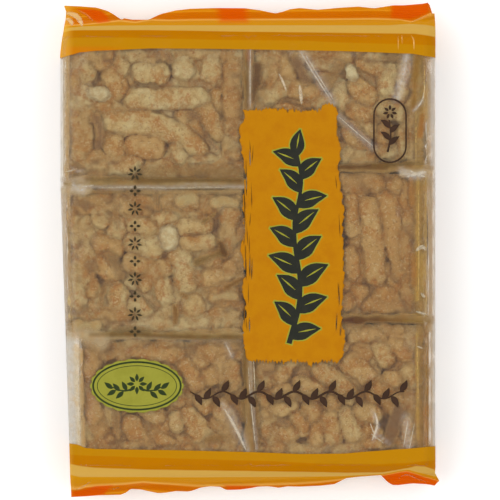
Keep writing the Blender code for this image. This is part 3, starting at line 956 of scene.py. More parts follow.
# Soft strokes of it, each over those before: colour, cover, width, softness and line
PAINTED_LIGHT_STROKES = (
    # The base over the gaps between the blocks: painted tan in place of the shade down in them
    ("tan_film", 0.95, 5.0, 1.4, (-0.3, 85.4), (-0.3, 57.7)),
    ("tan_film", 0.95, 5.0, 1.4, (-0.5, -40.6), (-0.3, -63.2), (0.1, -86.8)),
    ("straw_film", 0.95, 4.6, 1.3, (-77.2, 27.5), (-41.9, 27.6), (-1.2, 27.6)),
    ("straw_film", 0.95, 4.4, 1.3, (-69.6, -36.0), (-33.5, -36.1), (-1.2, -36.2)),
    ("tan_film", 0.95, 4.2, 1.3, (36.2, 34.1), (54.7, 34.1), (76.5, 34.2)),
    ("tan_film", 0.95, 4.2, 1.3, (37.1, -29.1), (54.7, -29.1), (76.5, -29.1)),
    # The strips beside the blocks: painted light and shade for the blocks' sides and the side film, with
    # painted highlight lines
    ("wheat_film", 0.7, 2.3, 1.1, (-76.5, 84.6), (-76.6, 58.6), (-76.6, 30.8)),
    ("butter_film", 0.6, 2.9, 1.4, (-77.9, 84.6), (-78.0, 58.6), (-78.0, 30.8)),
    ("wheat_film", 0.7, 2.3, 1.1, (-76.2, 24.1), (-75.9, -0.2), (-75.2, -28.8)),
    ("sand_film", 0.95, 3.1, 1.0, (-78.3, 25.0), (-77.9, -0.2), (-77.3, -29.6)),
    ("milk_film", 0.92, 6.3, 1.3, (-75.5, -38.0), (-75.1, -59.0), (-74.2, -82.6)),
    ("butter_film", 0.92, 4.2, 1.7, (-72.8, -40.6), (-72.4, -59.0), (-71.5, -82.6)),
    ("wheat_film", 0.85, 2.5, 1.3, (-71.0, -42.2), (-70.6, -59.0), (-69.9, -82.6)),
    ("gilt_film", 0.35, 6.7, 2.9, (71.1, 85.4), (71.1, 58.6), (71.3, 35.5)),
    ("gilt_film", 0.35, 7.6, 3.4, (71.5, 31.3), (71.5, 4.0), (71.5, -27.5)),
    ("gilt_film", 0.85, 2.1, 0.9, (74.1, 31.3), (74.1, 4.0), (74.1, -27.5)),
    ("bronze_film", 0.38, 5.9, 2.5, (71.9, -32.2), (71.9, -59.0), (71.9, -86.8)),
    ("bronze_film", 0.93, 2.7, 1.0, (74.6, -32.2), (74.6, -59.0), (74.6, -86.8)),
    ("clay_film", 0.9, 2.7, 1.1, (75.2, 85.4), (75.2, 58.6), (75.2, 35.5)),
    ("clay_film", 0.95, 3.4, 1.1, (76.0, 32.5), (76.0, 4.0), (76.0, -33.8)),
    ("clay_film", 0.92, 2.1, 1.0, (76.3, -32.2), (76.3, -59.0), (76.3, -86.8)),
    ("smoke_film", 0.9, 2.9, 1.1, (77.0, 85.4), (77.0, 58.6), (77.0, 35.5)),
    ("smoke_film", 0.85, 1.3, 0.6, (77.9, 32.5), (77.9, 4.0), (77.9, -33.8)),
    ("smoke_film", 0.92, 2.7, 1.1, (77.5, -32.2), (77.5, -59.0), (77.5, -86.8)),
    ("bronze_film", 0.8, 4.2, 2.1, (70.7, 83.8), (69.6, 73.3), (68.8, 57.7)),
    ("bronze_film", 0.6, 2.9, 1.3, (73.8, 81.2), (73.6, 72.0)),
    ("honey_film", 0.5, 3.4, 1.7, (73.6, 68.6), (73.6, 55.2)),
    ("amber_film", 0.7, 3.4, 1.4, (72.3, 56.0), (71.7, 47.6)),
    ("amber_film", 0.5, 3.4, 1.4, (67.7, 30.8), (68.4, 19.1)),
    ("honey_film", 0.7, 1.8, 0.8, (70.5, 32.5), (70.6, 4.0), (70.5, -21.2)),
    ("amber_film", 0.45, 3.4, 1.4, (68.8, -2.8), (69.2, -14.5)),
    ("honey_film", 0.5, 3.4, 1.4, (72.7, -2.8), (72.6, -17.0)),
    ("honey_film", 0.7, 1.8, 0.8, (70.3, -35.5), (70.4, -63.2), (70.6, -80.0)),
    ("amber_film", 0.5, 2.5, 1.1, (74.0, -66.6), (74.0, -81.7)),
    # Shaded lines and lit folds in the gaps
    ("sand_film", 0.7, 4.2, 1.8, (-78.4, 29.3), (-73.8, 29.3), (-67.9, 29.2)),
    ("cream_film", 0.9, 5.9, 2.1, (-78.4, 25.1), (-73.0, 25.2), (-67.9, 25.8)),
    ("umber_film", 0.35, 7.6, 3.8, (-43.6, 32.9), (-25.1, 32.7), (-4.1, 32.1)),
    ("umber_film", 0.8, 3.8, 1.8, (-67.9, 29.3), (-58.7, 29.6), (-46.1, 29.8)),
    ("shade_film", 0.9, 3.8, 1.8, (-47.8, 29.1), (-37.7, 29.0), (-20.9, 29.0), (-4.1, 28.8)),
    ("oat_film", 0.55, 2.9, 1.5, (-45.3, 24.1), (-25.1, 24.2), (-4.1, 24.5)),
    ("light_film", 0.85, 2.9, 1.5, (-67.9, 26.3), (-50.3, 26.2), (-37.7, 25.9), (-20.9, 26.4),
     (-4.1, 26.6)),
    ("umber_film", 0.5, 2.1, 1.0, (-66.3, 24.2), (-58.7, 24.3), (-46.9, 24.4)),
    ("cream_film", 0.8, 10.9, 4.6, (-77.2, -35.1), (-72.1, -35.1), (-67.1, -36.4), (-62.9, -38.5)),
    ("umber_film", 0.7, 2.9, 1.4, (-67.1, -35.8), (-57.9, -35.7)),
    ("dusk_film", 0.6, 5.0, 2.5, (-56.2, -33.8), (-49.5, -34.0), (-42.7, -34.7)),
    ("umber_film", 0.7, 3.4, 1.7, (-43.6, -36.2), (-33.5, -36.4), (-24.3, -36.4)),
    ("shade_film", 0.9, 2.9, 1.3, (-57.9, -35.6), (-46.1, -35.8), (-33.5, -36.7), (-3.3, -36.8)),
    ("umber_film", 0.4, 3.8, 1.9, (-23.4, -38.3), (-4.1, -38.4)),
    ("deep_film", 0.95, 3.6, 1.5, (36.6, 34.5), (46.3, 34.6), (53.0, 34.9), (57.2, 35.2)),
    ("shade_film", 0.85, 3.6, 1.7, (52.2, 35.2), (58.9, 35.5), (66.9, 35.9)),
    ("umber_film", 0.6, 3.4, 1.7, (64.8, 36.3), (71.5, 36.6), (75.7, 36.9)),
    ("cream_film", 0.85, 4.2, 1.9, (63.9, 31.9), (70.7, 32.2), (76.5, 32.7)),
    ("black_film", 0.95, 4.4, 1.8, (37.9, -29.8), (42.9, -29.8), (47.1, -29.8)),
    ("deep_film", 0.9, 3.8, 1.7, (45.0, -29.6), (51.3, -29.5), (56.8, -29.6)),
    ("brown_film", 0.88, 3.4, 1.6, (55.5, -29.7), (60.6, -29.8), (66.0, -30.0)),
    ("olive_film", 0.8, 2.7, 1.3, (64.8, -30.1), (70.7, -30.1), (75.7, -30.2)),
    ("russet_film", 0.95, 3.4, 1.5, (-0.3, 87.1), (-0.3, 77.9)),
    ("shade_film", 0.88, 2.5, 1.2, (-1.0, 78.7), (-1.0, 60.2)),
    ("hollow_film", 0.92, 5.5, 1.8, (3.0, 76.6), (2.8, 70.3)),
    ("hollow_film", 0.88, 4.2, 1.8, (2.3, 71.2), (1.6, 62.8)),
    ("shade_film", 0.8, 2.7, 1.3, (-2.1, -42.2), (-2.0, -51.5), (-1.8, -60.7)),
    ("light_film", 0.5, 1.8, 0.8, (-0.1, -44.8), (-0.1, -54.8), (-0.4, -62.4)),
    ("umber_film", 0.75, 2.1, 1.0, (1.4, -44.8), (1.4, -59.0)),
    ("umber_film", 0.5, 2.9, 1.4, (-2.6, -61.6), (-2.4, -72.5)),
    ("shade_film", 0.8, 2.5, 1.2, (0.7, -59.0), (0.7, -66.6), (0.9, -74.2)),
    ("brown_film", 0.6, 4.2, 2.1, (2.6, -64.1), (2.6, -73.3), (2.9, -83.4)),
    # Painted shade in the hollows between the strands, where the film is drawn over them, and painted light
    # on a few strands
    ("mauve_film", 0.8, 5.5, 2.1, (19.0, 79.6), (21.5, 75.4), (23.6, 71.2)),
    ("dim_film", 0.6, 6.3, 2.5, (30.8, 69.5), (34.5, 73.3), (37.9, 77.0)),
    ("dim_film", 0.8, 3.8, 1.7, (36.2, 57.7), (39.6, 53.1)),
    ("mauve_film", 0.85, 3.8, 1.7, (42.1, 52.7), (46.7, 47.6), (50.1, 43.0)),
    ("dim_film", 0.7, 4.2, 1.9, (56.4, 80.4), (62.7, 80.4)),
    ("mauve_film", 0.85, 6.3, 1.7, (62.3, -67.9), (60.2, -75.0), (58.1, -80.9)),
    ("mauve_film", 0.8, 4.6, 1.9, (-64.6, 55.2), (-62.5, 49.3), (-63.7, 43.0)),
    ("brown_film", 0.55, 3.8, 1.8, (-18.0, -80.0), (-13.3, -79.2), (-8.7, -78.4)),
    ("dim_film", 0.7, 3.8, 1.7, (-56.2, -66.2), (-55.8, -76.3)),
    ("mauve_film", 0.7, 3.4, 1.5, (-34.3, 82.1), (-33.5, 79.6)),
    ("mauve_film", 0.75, 3.8, 1.5, (-25.1, 56.9), (-21.7, 55.2)),
    ("mauve_film", 0.75, 2.9, 1.3, (-17.1, 46.0), (-14.2, 42.2)),
    ("mauve_film", 0.7, 3.8, 1.7, (21.1, -51.5), (23.6, -52.3)),
    ("mauve_film", 0.7, 4.2, 1.7, (13.1, -72.1), (15.6, -73.3)),
    ("dim_film", 0.7, 5.5, 2.5, (-59.5, -2.3), (-56.2, -5.7), (-54.1, -10.3)),
    ("dim_film", 0.75, 3.8, 1.8, (-62.9, -22.5), (-62.1, -18.7), (-60.0, -14.5)),
    ("umber_film", 0.93, 5.0, 2.1, (-22.2, -5.3), (-17.5, -3.2), (-12.1, -1.5)),
    ("deep_film", 0.95, 4.2, 1.7, (-12.5, 2.7), (-11.7, 0.2), (-10.4, -1.9)),
    ("umber_film", 0.85, 2.9, 1.4, (-19.2, 11.9), (-17.1, 13.2), (-15.0, 14.9)),
    ("brown_film", 0.85, 3.4, 1.7, (-10.0, -15.8), (-6.6, -14.1), (-2.8, -12.4)),
    ("dim_film", 0.6, 3.4, 1.7, (-55.8, 18.2), (-56.6, 14.0), (-55.8, 9.0)),
    ("dim_film", 0.7, 2.9, 1.4, (-39.4, 24.1), (-39.4, 20.8), (-38.5, 17.4)),
    ("brown_film", 0.92, 3.6, 1.7, (-31.8, -23.8), (-31.0, -27.1), (-31.4, -30.5)),
    ("brown_film", 0.92, 3.6, 1.7, (-28.5, -18.7), (-26.8, -20.0)),
    ("pith_film", 0.95, 6.3, 2.5, (-28.9, 20.3), (-26.8, 21.2), (-24.3, 21.2)),
    ("pith_film", 0.85, 5.5, 2.5, (-14.6, 19.5), (-10.8, 20.3), (-6.2, 19.5)),
    ("pith_film", 0.7, 4.2, 2.1, (-15.4, -20.4), (-11.2, -19.6), (-6.2, -19.6)),
    ("pith_film", 0.85, 5.5, 2.5, (-72.1, -31.3), (-67.9, -31.7), (-64.2, -32.2)),
    ("oat_film", 0.6, 2.9, 1.4, (-21.7, -34.4), (-12.5, -34.4), (-4.1, -34.3)),
)
# Colour of each kind of fold and how much it covers: the pale kinds are painted highlights, the dark one a
# painted shade line
FOLD_LOOKS = {
    "highlight_fold": ((230, 214, 184), 0.6),
    "gap_highlight": ((200, 180, 142), 0.5),
    "fine_highlight": ((228, 190, 108), 0.55),
    "shade_fold": ((120, 96, 66), 0.5),
    "sun_highlight": ((250, 194, 96), 0.85, 0.95),
    "fan_highlight": ((255, 216, 140), 0.5, 0.9),
    "ember_fold": ((240, 132, 40), 0.7, 0.95),
}

# Where the end print is redder or deeper, as outlines: strength, softness and outline
PATCHES = (
    (1.0, 0.7, (-73.0, 101.6), (-66.3, 101.6), (-62.5, 100.8), (-60.0, 98.5), (-59.1, 96.0), (-63.7, 95.3),
     (-66.7, 97.4), (-69.2, 99.7)),
    (0.95, 2.2, (-14.6, 104.4), (-1.2, 104.4), (-1.2, 96.0), (-12.2, 96.0)),
    (0.95, 0.9, (59.9, 104.6), (77.0, 105.0), (75.3, 99.9), (70.2, 98.0), (67.3, 97.2), (59.7, 97.8)),
    (1.0, 0.7, (-76.4, -102.3), (-69.6, -101.4), (-65.0, -99.7), (-57.9, -99.4), (-59.5, -101.0),
     (-61.6, -103.6), (-71.3, -105.0), (-76.4, -105.0)),
    (1.0, 0.8, (-10.4, -99.8), (3.9, -100.0), (0.1, -102.3), (-9.1, -102.3)),
    (0.95, 0.5, (56.0, -95.5), (63.1, -93.8), (66.5, -93.4), (73.6, -96.1), (79.9, -97.8), (80.2, -101.0),
     (56.0, -100.6)),
    (0.3, 0.9, (-80.1, 85.2), (-71.3, 85.2), (-60.8, 85.0), (-51.1, 84.2), (-62.9, 82.5), (-75.5, 80.8),
     (-80.1, 80.0)),
)
# The lines between the printed stripes, from the crease towards the blocks
TOP_EDGES = (
    ((-79.7, 93.8), (-77.2, 94.1), (-69.6, 94.5), (-63.7, 95.2), (-58.7, 95.9), (-54.5, 96.4),
     (-48.2, 95.5), (-41.9, 96.9), (-33.5, 96.6), (-25.1, 96.9), (-6.2, 97.0), (37.9, 97.2), (52.6, 97.4),
     (63.1, 97.0), (68.1, 95.7), (71.5, 97.2), (76.1, 99.5), (79.9, 99.7)),
    ((-79.7, 92.2), (-76.3, 93.2), (-71.3, 93.8), (-62.9, 94.1), (-41.9, 94.3), (58.9, 94.3), (63.1, 94.7),
     (68.1, 94.9), (73.6, 94.5), (79.9, 93.4)),
    ((-79.7, 90.7), (-77.2, 91.7), (-74.7, 92.2), (-71.3, 92.3), (-41.9, 92.3), (-9.1, 91.7), (21.1, 91.3),
     (40.0, 91.1), (69.4, 90.7), (73.6, 90.1), (79.9, 89.0)),
    ((-79.7, 88.8), (-73.4, 89.0), (-58.7, 89.2), (-41.9, 88.8), (-9.1, 88.0), (21.1, 87.8), (37.9, 86.9),
     (63.1, 86.3), (79.9, 85.7)),
    ((-79.7, 80.4), (-78.0, 80.8), (-74.7, 81.7), (-71.3, 82.7), (-65.0, 83.3), (-58.7, 83.6),
     (-50.3, 84.0), (-41.9, 84.4), (-9.1, 84.2), (21.1, 83.6), (37.9, 83.3), (54.7, 82.7), (69.4, 82.1),
     (73.6, 81.2), (79.9, 80.4)),
)
BOTTOM_EDGES = (
    ((-78.0, -101.0), (-72.1, -101.2), (-69.2, -100.0), (-65.0, -99.6), (-52.4, -98.7), (-44.8, -97.8),
     (-37.7, -98.6), (-21.7, -100.0), (4.3, -99.6), (21.1, -98.9), (29.5, -98.3), (42.1, -96.8),
     (56.0, -95.4), (63.1, -93.7), (66.5, -93.3), (73.6, -96.0), (79.9, -97.7)),
    ((-78.0, -94.5), (-75.5, -94.7), (-71.3, -95.6), (-29.3, -95.8), (31.6, -95.6), (40.0, -95.4),
     (56.0, -94.5), (63.1, -93.1), (66.5, -92.6), (73.6, -94.7), (79.9, -96.4)),
    ((-78.0, -89.9), (-75.5, -90.2), (-71.3, -91.0), (-65.0, -91.8), (-41.9, -92.6), (-9.1, -93.1),
     (29.5, -93.7), (40.0, -94.0), (56.0, -93.9), (63.1, -92.6), (67.3, -91.8), (69.8, -91.0),
     (73.6, -91.2), (79.9, -93.5)),
    ((-78.0, -86.1), (-75.5, -86.3), (-29.3, -87.8), (8.5, -88.9), (31.6, -90.1), (54.7, -90.3),
     (67.3, -89.7), (79.9, -88.4)),
    ((-78.0, -81.5), (-72.1, -81.9), (-69.2, -83.4), (-65.0, -83.8), (-29.3, -84.4), (0.1, -85.1),
     (21.1, -85.9), (40.0, -85.7), (50.5, -84.7), (63.1, -83.8), (75.7, -82.8), (79.9, -82.6)),
)
FIN_SPAN = 8.0
BEYOND_PRINT = 4.0


# The sheet of painted shade and painted light
SHEET_SPAN = (-88.4, 87.6)
SHEET_STEP = 0.8
SHEET_COLUMNS = 196
SHEET_INSET = 0.2
SHEET_WOBBLE = 1.0
FILM_GLARE = 0.037
DOUGH_AS_SEEN = (158, 130, 87)
FILM_SHARE = 0.9


def stripe_zone(x, y):
    """Which stripe of the print a place is in: 0 to 1 next to the crease, 4 and more where it ends."""
    zones = np.empty(len(x))
    for edges, sign in ((TOP_EDGES, 1), (BOTTOM_EDGES, -1)):
        here = y * sign > 0
        inside = sign * y[here]
        lines = [sign * np.interp(x[here], *zip(*edge)) for edge in edges]
        zone = np.clip((lines[0] - inside) / FIN_SPAN, -1.0, 0.0)
        for upper, lower in zip(lines[:-1], lines[1:]):
            zone += np.clip((upper - inside) / np.maximum(upper - lower, 0.05), 0.0, 1.0)
        zones[here] = zone + np.clip((lines[-1] - inside) / BEYOND_PRINT, 0.0, 1.0)
    return zones


def within(spots, outline):
    """How far each spot lies inside a closed outline, below 0 outside it."""
    closed = np.vstack([outline, outline[:1]])
    inside = np.zeros(len(spots), bool)
    for start, end in zip(closed[:-1], closed[1:]):
        crosses = (start[1] > spots[:, 1]) != (end[1] > spots[:, 1])
        rise = end[1] - start[1] or 1e-9
        inside ^= crosses & (spots[:, 0] < start[0] + (spots[:, 1] - start[1]) / rise * (end[0] - start[0]))
    return np.where(inside, 1.0, -1.0) * distance_to_line(spots, closed)


def layers_at(x, y):
    """How much redder the print is at each place, from 0 to 1."""
    found = np.zeros(len(x))
    spots = np.column_stack([x, y])
    for strength, soft, *outline in PATCHES:
        found = np.maximum(found, strength * smoothstep(-soft, soft, within(spots, np.array(outline, float))))
    return found


def drape(x, y, z, shares, panel, rest, sign):
    """Lays one panel of the bag over what it rests on, and says how far it rose."""
    base = sign * z[:, panel]
    contact = read_map(rest, x[:, panel], y[:, panel]) + BAG_CLEARANCE
    contact = np.where(shares > 0, np.maximum(contact, base), contact)
    held = np.broadcast_to(shares > HELD_SHARE, base.shape)
    start = np.where(held, base, np.maximum(base, contact))
    settled = stretched(start, contact, held, BAG_ROUNDS)
    z[:, panel] = sign * settled
    return settled - base


def crease_front(x, y, z):
    """Raises the creases of the front panel, and says how much painted highlight they give the film."""
    spots = np.column_stack([x.ravel(), y.ravel()])
    haze_and_highlight = np.zeros(x.shape)
    for width, height, white, *points in CREASES:
        away = distance_to_line(spots, np.array(points, float)).reshape(x.shape)
        z += 0.5 * height * np.exp(-((away / width) ** 2))
        haze_and_highlight = np.maximum(haze_and_highlight, 0.6 * white * np.exp(-((away / (0.7 * width)) ** 2)))
    return haze_and_highlight


def film_bag(front_rest, back_rest, material):
    """The clear bag, draped over what it holds."""
    rows = film_rows()
    sections = np.array([film_section(*row) for row in rows])
    x, y, z = sections[:, 0], sections[:, 1], sections[:, 2]
    around = x.shape[1]
    front = slice(0, PANEL_STEPS + 1)
    first_back = PANEL_STEPS + 1 + EDGE_STEPS + 2 * SIDE_STEPS - 1 + EDGE_STEPS
    back = slice(first_back, first_back + PANEL_STEPS + 1)
    shares = np.array([row[1] for row in rows])[:, None]
    rise = drape(x, y, z, shares, front, front_rest, 1)
    fade = np.linspace(0.0, 1.0, EDGE_STEPS + 1)
    z[:, PANEL_STEPS + 1:PANEL_STEPS + 1 + EDGE_STEPS] += rise[:, -1:] * fade[::-1][1:]
    z[:, -EDGE_STEPS - 1:] += rise[:, :1] * fade
    drape(x, y, z, shares, back, back_rest, -1)
    z[:, back] = np.maximum(z[:, back], LOWEST_FILM)
    haze_and_highlight = np.zeros(x.shape)
    haze_and_highlight[:, front] = crease_front(x[:, front], y[:, front], z[:, front])
    z[:, -1] = z[:, 0]
    mesh = bmesh.new()
    bmesh.ops.create_grid(mesh, x_segments=around - 1, y_segments=len(rows) - 1, size=1.0)
    haze_and_highlight_layer = mesh.verts.layers.float.new("haze_and_highlight")
    for vert in mesh.verts:
        i = round((vert.co.x + 1) / 2 * (around - 1))
        j = round((vert.co.y + 1) / 2 * (len(rows) - 1))
        vert.co = (x[j, i], y[j, i], z[j, i])
        vert[haze_and_highlight_layer] = haze_and_highlight[j, i]
    bmesh.ops.remove_doubles(mesh, verts=mesh.verts, dist=0.004)
    slits = [edge for edge in mesh.edges if edge.is_boundary]
    bmesh.ops.holes_fill(mesh, edges=slits, sides=8)
    bag = new_object("film_bag", mesh, [material])
    places = places_of(bag.data)
    write_values(bag.data, "zone", stripe_zone(places[:, 0], places[:, 1]))
    write_values(bag.data, "layers", layers_at(places[:, 0], places[:, 1]))
    # Painted light on the end print at the bag's left edge
    write_values(bag.data, "glow", smoothstep(*GLOW_SPAN, places[:, 0]))
    return bag


def wrapper(column, row, top, material):
    """The clear film drawn tight round one block."""
    phase = Vector((3.1 * column, 7.7 * row, 1.3))
    left, right, lower, upper = block_box(column, row)
    low = np.array((left - WRAP_GROW, lower - WRAP_GROW, BLOCK_LOW - WRAP_RISE))
    high = np.array((right + WRAP_GROW, upper + WRAP_GROW, BLOCK_TOP + WRAP_RISE))
    mesh = bmesh.new()
    bmesh.ops.create_cube(mesh, size=1.0)
    bmesh.ops.subdivide_edges(mesh, edges=mesh.edges[:], cuts=WRAP_CUTS, use_grid_fill=True)
    middle, half = (low + high) / 2, (high - low) / 2
    for vert in mesh.verts:
        vert.co = Vector(middle) + Vector(half * 2 * np.array(vert.co))
    item = new_object(f"wrapper_{column + 1}_{row + 1}", mesh, [material])
    places = places_of(item.data)
    radius = BLOCK_EDGE + WRAP_GROW
    inner = np.clip(places, low + radius, high - radius)
    offset = places - inner
    way = offset / np.maximum(np.sqrt((offset**2).sum(axis=1)), 1e-6)[:, None]
    places = inner + way * radius
    up = smoothstep(0.55, 0.95, way[:, 2])
    rest = read_map(top, places[:, 0], places[:, 1]) + WRAP_CLEARANCE
    places[:, 2] += up * (rest - high[2])
    wrinkle = np.array([noise.noise(Vector(place * (0.12, 0.12, 0.3)) + phase) for place in places])
    places += way * (wrinkle * WRAP_WRINKLE * (1.0 - up))[:, None]
    put_places(item.data, places)
    return item


class Nodes:
    """Builds a material's nodes: each call adds one and links or sets its inputs."""

    def __init__(self, name):
        self.material = bpy.data.materials.new(name)
        self.material.use_nodes = True
        self.tree = self.material.node_tree
        self.tree.nodes.clear()

    def add(self, kind, inputs=None, **settings):
        made = self.tree.nodes.new("ShaderNode" + kind)
        for key, value in settings.items():
            setattr(made, key, value)
        for key, value in (inputs or {}).items():
            socket = made.inputs[key]
            if isinstance(value, bpy.types.NodeSocket):
                self.tree.links.new(value, socket)
            else:
                socket.default_value = value
        return made

    def noise(self, size, detail=2.0, rough=0.5):
        """Noise whose lumps are about size millimetres, from the piece's own places."""
        place = self.add("TexCoord").outputs["Object"]
        made = self.add(
            "TexNoise", {"Vector": place, "Scale": 1.0 / (size * MM), "Detail": detail, "Roughness": rough}
        )
        return made.outputs["Fac"]

    def value(self, name):
        return self.add("Attribute", attribute_name=name).outputs["Fac"]

    def step(self, value, low, high, to_low=0.0, to_high=1.0, shape="SMOOTHSTEP"):
        made = self.add("MapRange", {
            "Value": value, "From Min": low, "From Max": high, "To Min": to_low, "To Max": to_high,
        }, interpolation_type=shape)
        return made.outputs["Result"]

    def maths(self, operation, a, b):
        return self.add("Math", {0: a, 1: b}, operation=operation).outputs["Value"]

    def times(self, a, b):
        return self.maths("MULTIPLY", a, b)

    def mix(self, share, a, b, blend="MIX"):
        values = {"Factor": share, "A": a, "B": b}
        return self.add("Mix", values, data_type="RGBA", blend_type=blend).outputs[2]

    def crinkle(self, lumps, strength, depth):
        """The normal of a surface with fine bumps of a depth in millimetres."""
        values = {"Height": lumps, "Strength": strength, "Distance": depth * MM}
        return self.add("Bump", values).outputs["Normal"]

    def clear(self, colour=(1.0, 1.0, 1.0, 1.0)):
        return self.add("BsdfTransparent", {"Color": colour}).outputs["BSDF"]

    def paint(self, colour, rough, normal, shine=0.5):
        return self.add("BsdfPrincipled", {
            "Base Color": colour, "Roughness": rough, "Normal": normal, "Specular IOR Level": shine,
        }).outputs["BSDF"]

    def mix_shaders(self, share, a, b):
        return self.add("MixShader", {"Fac": share, 1: a, 2: b}).outputs["Shader"]

    def ramp(self, value, stops):
        made = self.add("ValToRGB", {"Fac": value})
        elements = made.color_ramp.elements
        while len(elements) > 1:
            elements.remove(elements[-1])
        for index, (place, colour) in enumerate(stops):
            element = elements[0] if index == 0 else elements.new(place)
            element.position = place
            element.color = colour
        return made.outputs["Color"]

    def finish(self, shader):
        self.add("OutputMaterial", {"Surface": shader})
        return self.material


def lit_share(colours):
    """Colours given as they look on a screen, 0 to 255, as shares of light."""
    shares = np.asarray(colours, float) / 255
    return np.where(shares <= 0.04045, shares / 12.92, ((shares + 0.055) / 1.055) ** 2.4)


def tint(red, green, blue):
    """A material's colour from how it looks on a screen, 0 to 255."""
    return (*lit_share((red, green, blue)).tolist(), 1.0)


# Colours of the dough, from the palest strands to the darkest
DOUGH_TONES = (
    (0.0, tint(214, 202, 160)),
    (0.2, tint(206, 187, 134)),
    (0.45, tint(201, 172, 114)),
    (0.7, tint(196, 160, 100)),
    (1.0, tint(188, 146, 84)),
)
# Colours of the end print as shares of its way from the fin's edge to the clear film, in sixths
STRIPE_TONES = tuple((sixths / 6, tint(*colour)) for sixths, colour in (
    (0.0, (210, 130, 6)),
    (0.46, (212, 128, 6)),
    (0.53, (226, 148, 26)),
    (0.60, (208, 114, 2)),
    (0.86, (206, 108, 2)),
    (0.93, (212, 120, 8)),
    # A painted highlight: the pale line where the fin's crease meets the body of the bag
    (0.99, (228, 164, 74)),
    (1.08, (222, 158, 60)),
    (1.28, (204, 132, 10)),
    (1.95, (202, 138, 14)),
    (2.03, (204, 160, 76)),
    (2.95, (202, 158, 70)),
    (3.05, (182, 112, 2)),
    (3.95, (182, 114, 2)),
    (4.05, (184, 126, 10)),
    (6.0, (180, 124, 14)),
))
# The zone in which the end print stops
PRINT_END = (3.97, 4.03)


def dough_finish():
    """Fried puffed dough: tan, paler and darker by the strand, with toasted spots and painted shade in its
    gaps.
    """
    n = Nodes("dough")
    tone, apart = n.value("tone"), n.value("apart")
    fried = n.step(tone, -0.3, 0.2)
    shade = n.maths("ADD", n.times(tone, 0.55), n.times(n.noise(9.0), 0.6))
    colour = n.ramp(n.step(shade, 0.0, 1.2), DOUGH_TONES)
    mottle = n.step(n.noise(2.4, 3.0, 0.7), 0.38, 0.62)
    toast_fields = n.step(n.noise(8.0, 2.0, 0.6), 0.46, 0.60)
    toast = n.times(toast_fields, n.step(n.noise(1.6, 3.0, 0.8), 0.38, 0.58, 0.2, 1.0))
    ember = n.times(n.step(n.noise(4.0, 2.0, 0.6), 0.50, 0.66), n.step(n.noise(1.3, 2.0, 0.7), 0.46, 0.6))
    speck = n.times(n.step(n.noise(1.4, 3.0, 0.8), 0.56, 0.68), 0.55)
    dust = n.step(n.noise(1.2, 2.0, 0.75), 0.55, 0.66)
    # Painted shade in the creases between strands, in places
    crease = n.times(n.step(apart, 0.0, 1.2, 0.5, 0.0), n.step(n.noise(7.0, 1.0), 0.5, 0.64))
    for cover, stain_or_shade in (
        (n.times(mottle, 0.55), (172, 133, 66)),
        (n.times(toast, n.times(fried, 0.78)), (172, 114, 34)),
        (n.times(ember, n.times(fried, 0.45)), (166, 98, 34)),
        (n.times(speck, fried), (124, 80, 26)),
        (n.times(dust, 0.4), (228, 210, 166)),
        # Painted shade: darker near the borders between strands, in the creases between them, and deeper
        # under the surface
        (n.step(apart, 0.0, 3.4, 0.34, 0.0), (150, 108, 52)),
        (crease, (104, 70, 36)),
        (n.step(n.value("depth"), 1.4, 4.0, 0.0, 0.8), (130, 96, 66)),
    ):
        colour = n.mix(cover, colour, tint(*stain_or_shade))
    return n.finish(n.paint(colour, 0.55, n.crinkle(n.noise(1.1, 4.0, 0.7), 0.8, 0.8), 0.25))


def end_print(n, normal):
    """The ink of the bag's printed ends."""
    zone = n.step(n.value("zone"), -1.0, 5.0, shape="LINEAR")
    colour = n.ramp(zone, STRIPE_TONES)
    colour = n.mix(n.value("layers"), colour, tint(217, 88, 1))
    # Painted light: lighter yellow towards the bag's left edge
    colour = n.mix(n.times(n.value("glow"), 0.55), colour, tint(232, 176, 60))
    return n.add("BsdfDiffuse", {"Color": colour, "Normal": normal}).outputs["BSDF"]


def film_finish(name, white, printed):
    """Clear glossy film: white says how milky it is all over, printed whether it carries the end stripes."""
    n = Nodes(name)
    # Painted highlight along the bag's creases, on top of the film's own even haze
    haze_and_highlight = n.times(n.value("haze_and_highlight"), n.step(n.noise(1.4), 0.35, 0.6, 0.5, 1.0))
    haze_and_highlight = n.maths("ADD", haze_and_highlight, white)
    crinkle = n.crinkle(n.noise(5.0, 3.0, 0.6), 0.25, 0.8)
    milky = n.add("BsdfDiffuse", {"Color": tint(238, 234, 226)}).outputs["BSDF"]
    body = n.mix_shaders(haze_and_highlight, n.clear((0.985, 0.972, 0.95, 1.0)), milky)
    fresnel = n.add("Fresnel", {"IOR": 1.42, "Normal": crinkle}).outputs["Fac"]
    shine = n.maths("MINIMUM", n.times(fresnel, 0.7), 0.2)
    if printed:
        zone = n.value("zone")
        body = n.mix_shaders(n.step(zone, *PRINT_END, 1.0, 0.0), body, end_print(n, crinkle))
        shine = n.times(shine, n.step(zone, *PRINT_END, 0.08, 1.0))
    gloss = n.add("BsdfGlossy", {"Roughness": 0.16, "Normal": crinkle}).outputs["BSDF"]
    return n.finish(n.mix_shaders(shine, body, gloss))


def stroke(points, widths, grow=0.0, step=0.7):
    """Outline of a brush line through the points, its widths spread evenly along it, grown all round."""
    line = even_line(points, step)
    run = np.gradient(line, axis=0)
    run /= np.maximum(np.hypot(run[:, 0], run[:, 1]), 1e-6)[:, None]
    line[0] -= grow * run[0]
    line[-1] += grow * run[-1]
    side = np.column_stack([-run[:, 1], run[:, 0]])
    half = np.interp(np.linspace(0, 1, len(line)), np.linspace(0, 1, len(widths)), widths) / 2 + grow
    return np.vstack([line + side * half[:, None], (line - side * half[:, None])[::-1]])


def headings(angle):
    """The direction at an angle in degrees, and the one to its left."""
    turn = math.radians(angle)
    return np.array((math.cos(turn), math.sin(turn))), np.array((-math.sin(turn), math.cos(turn)))


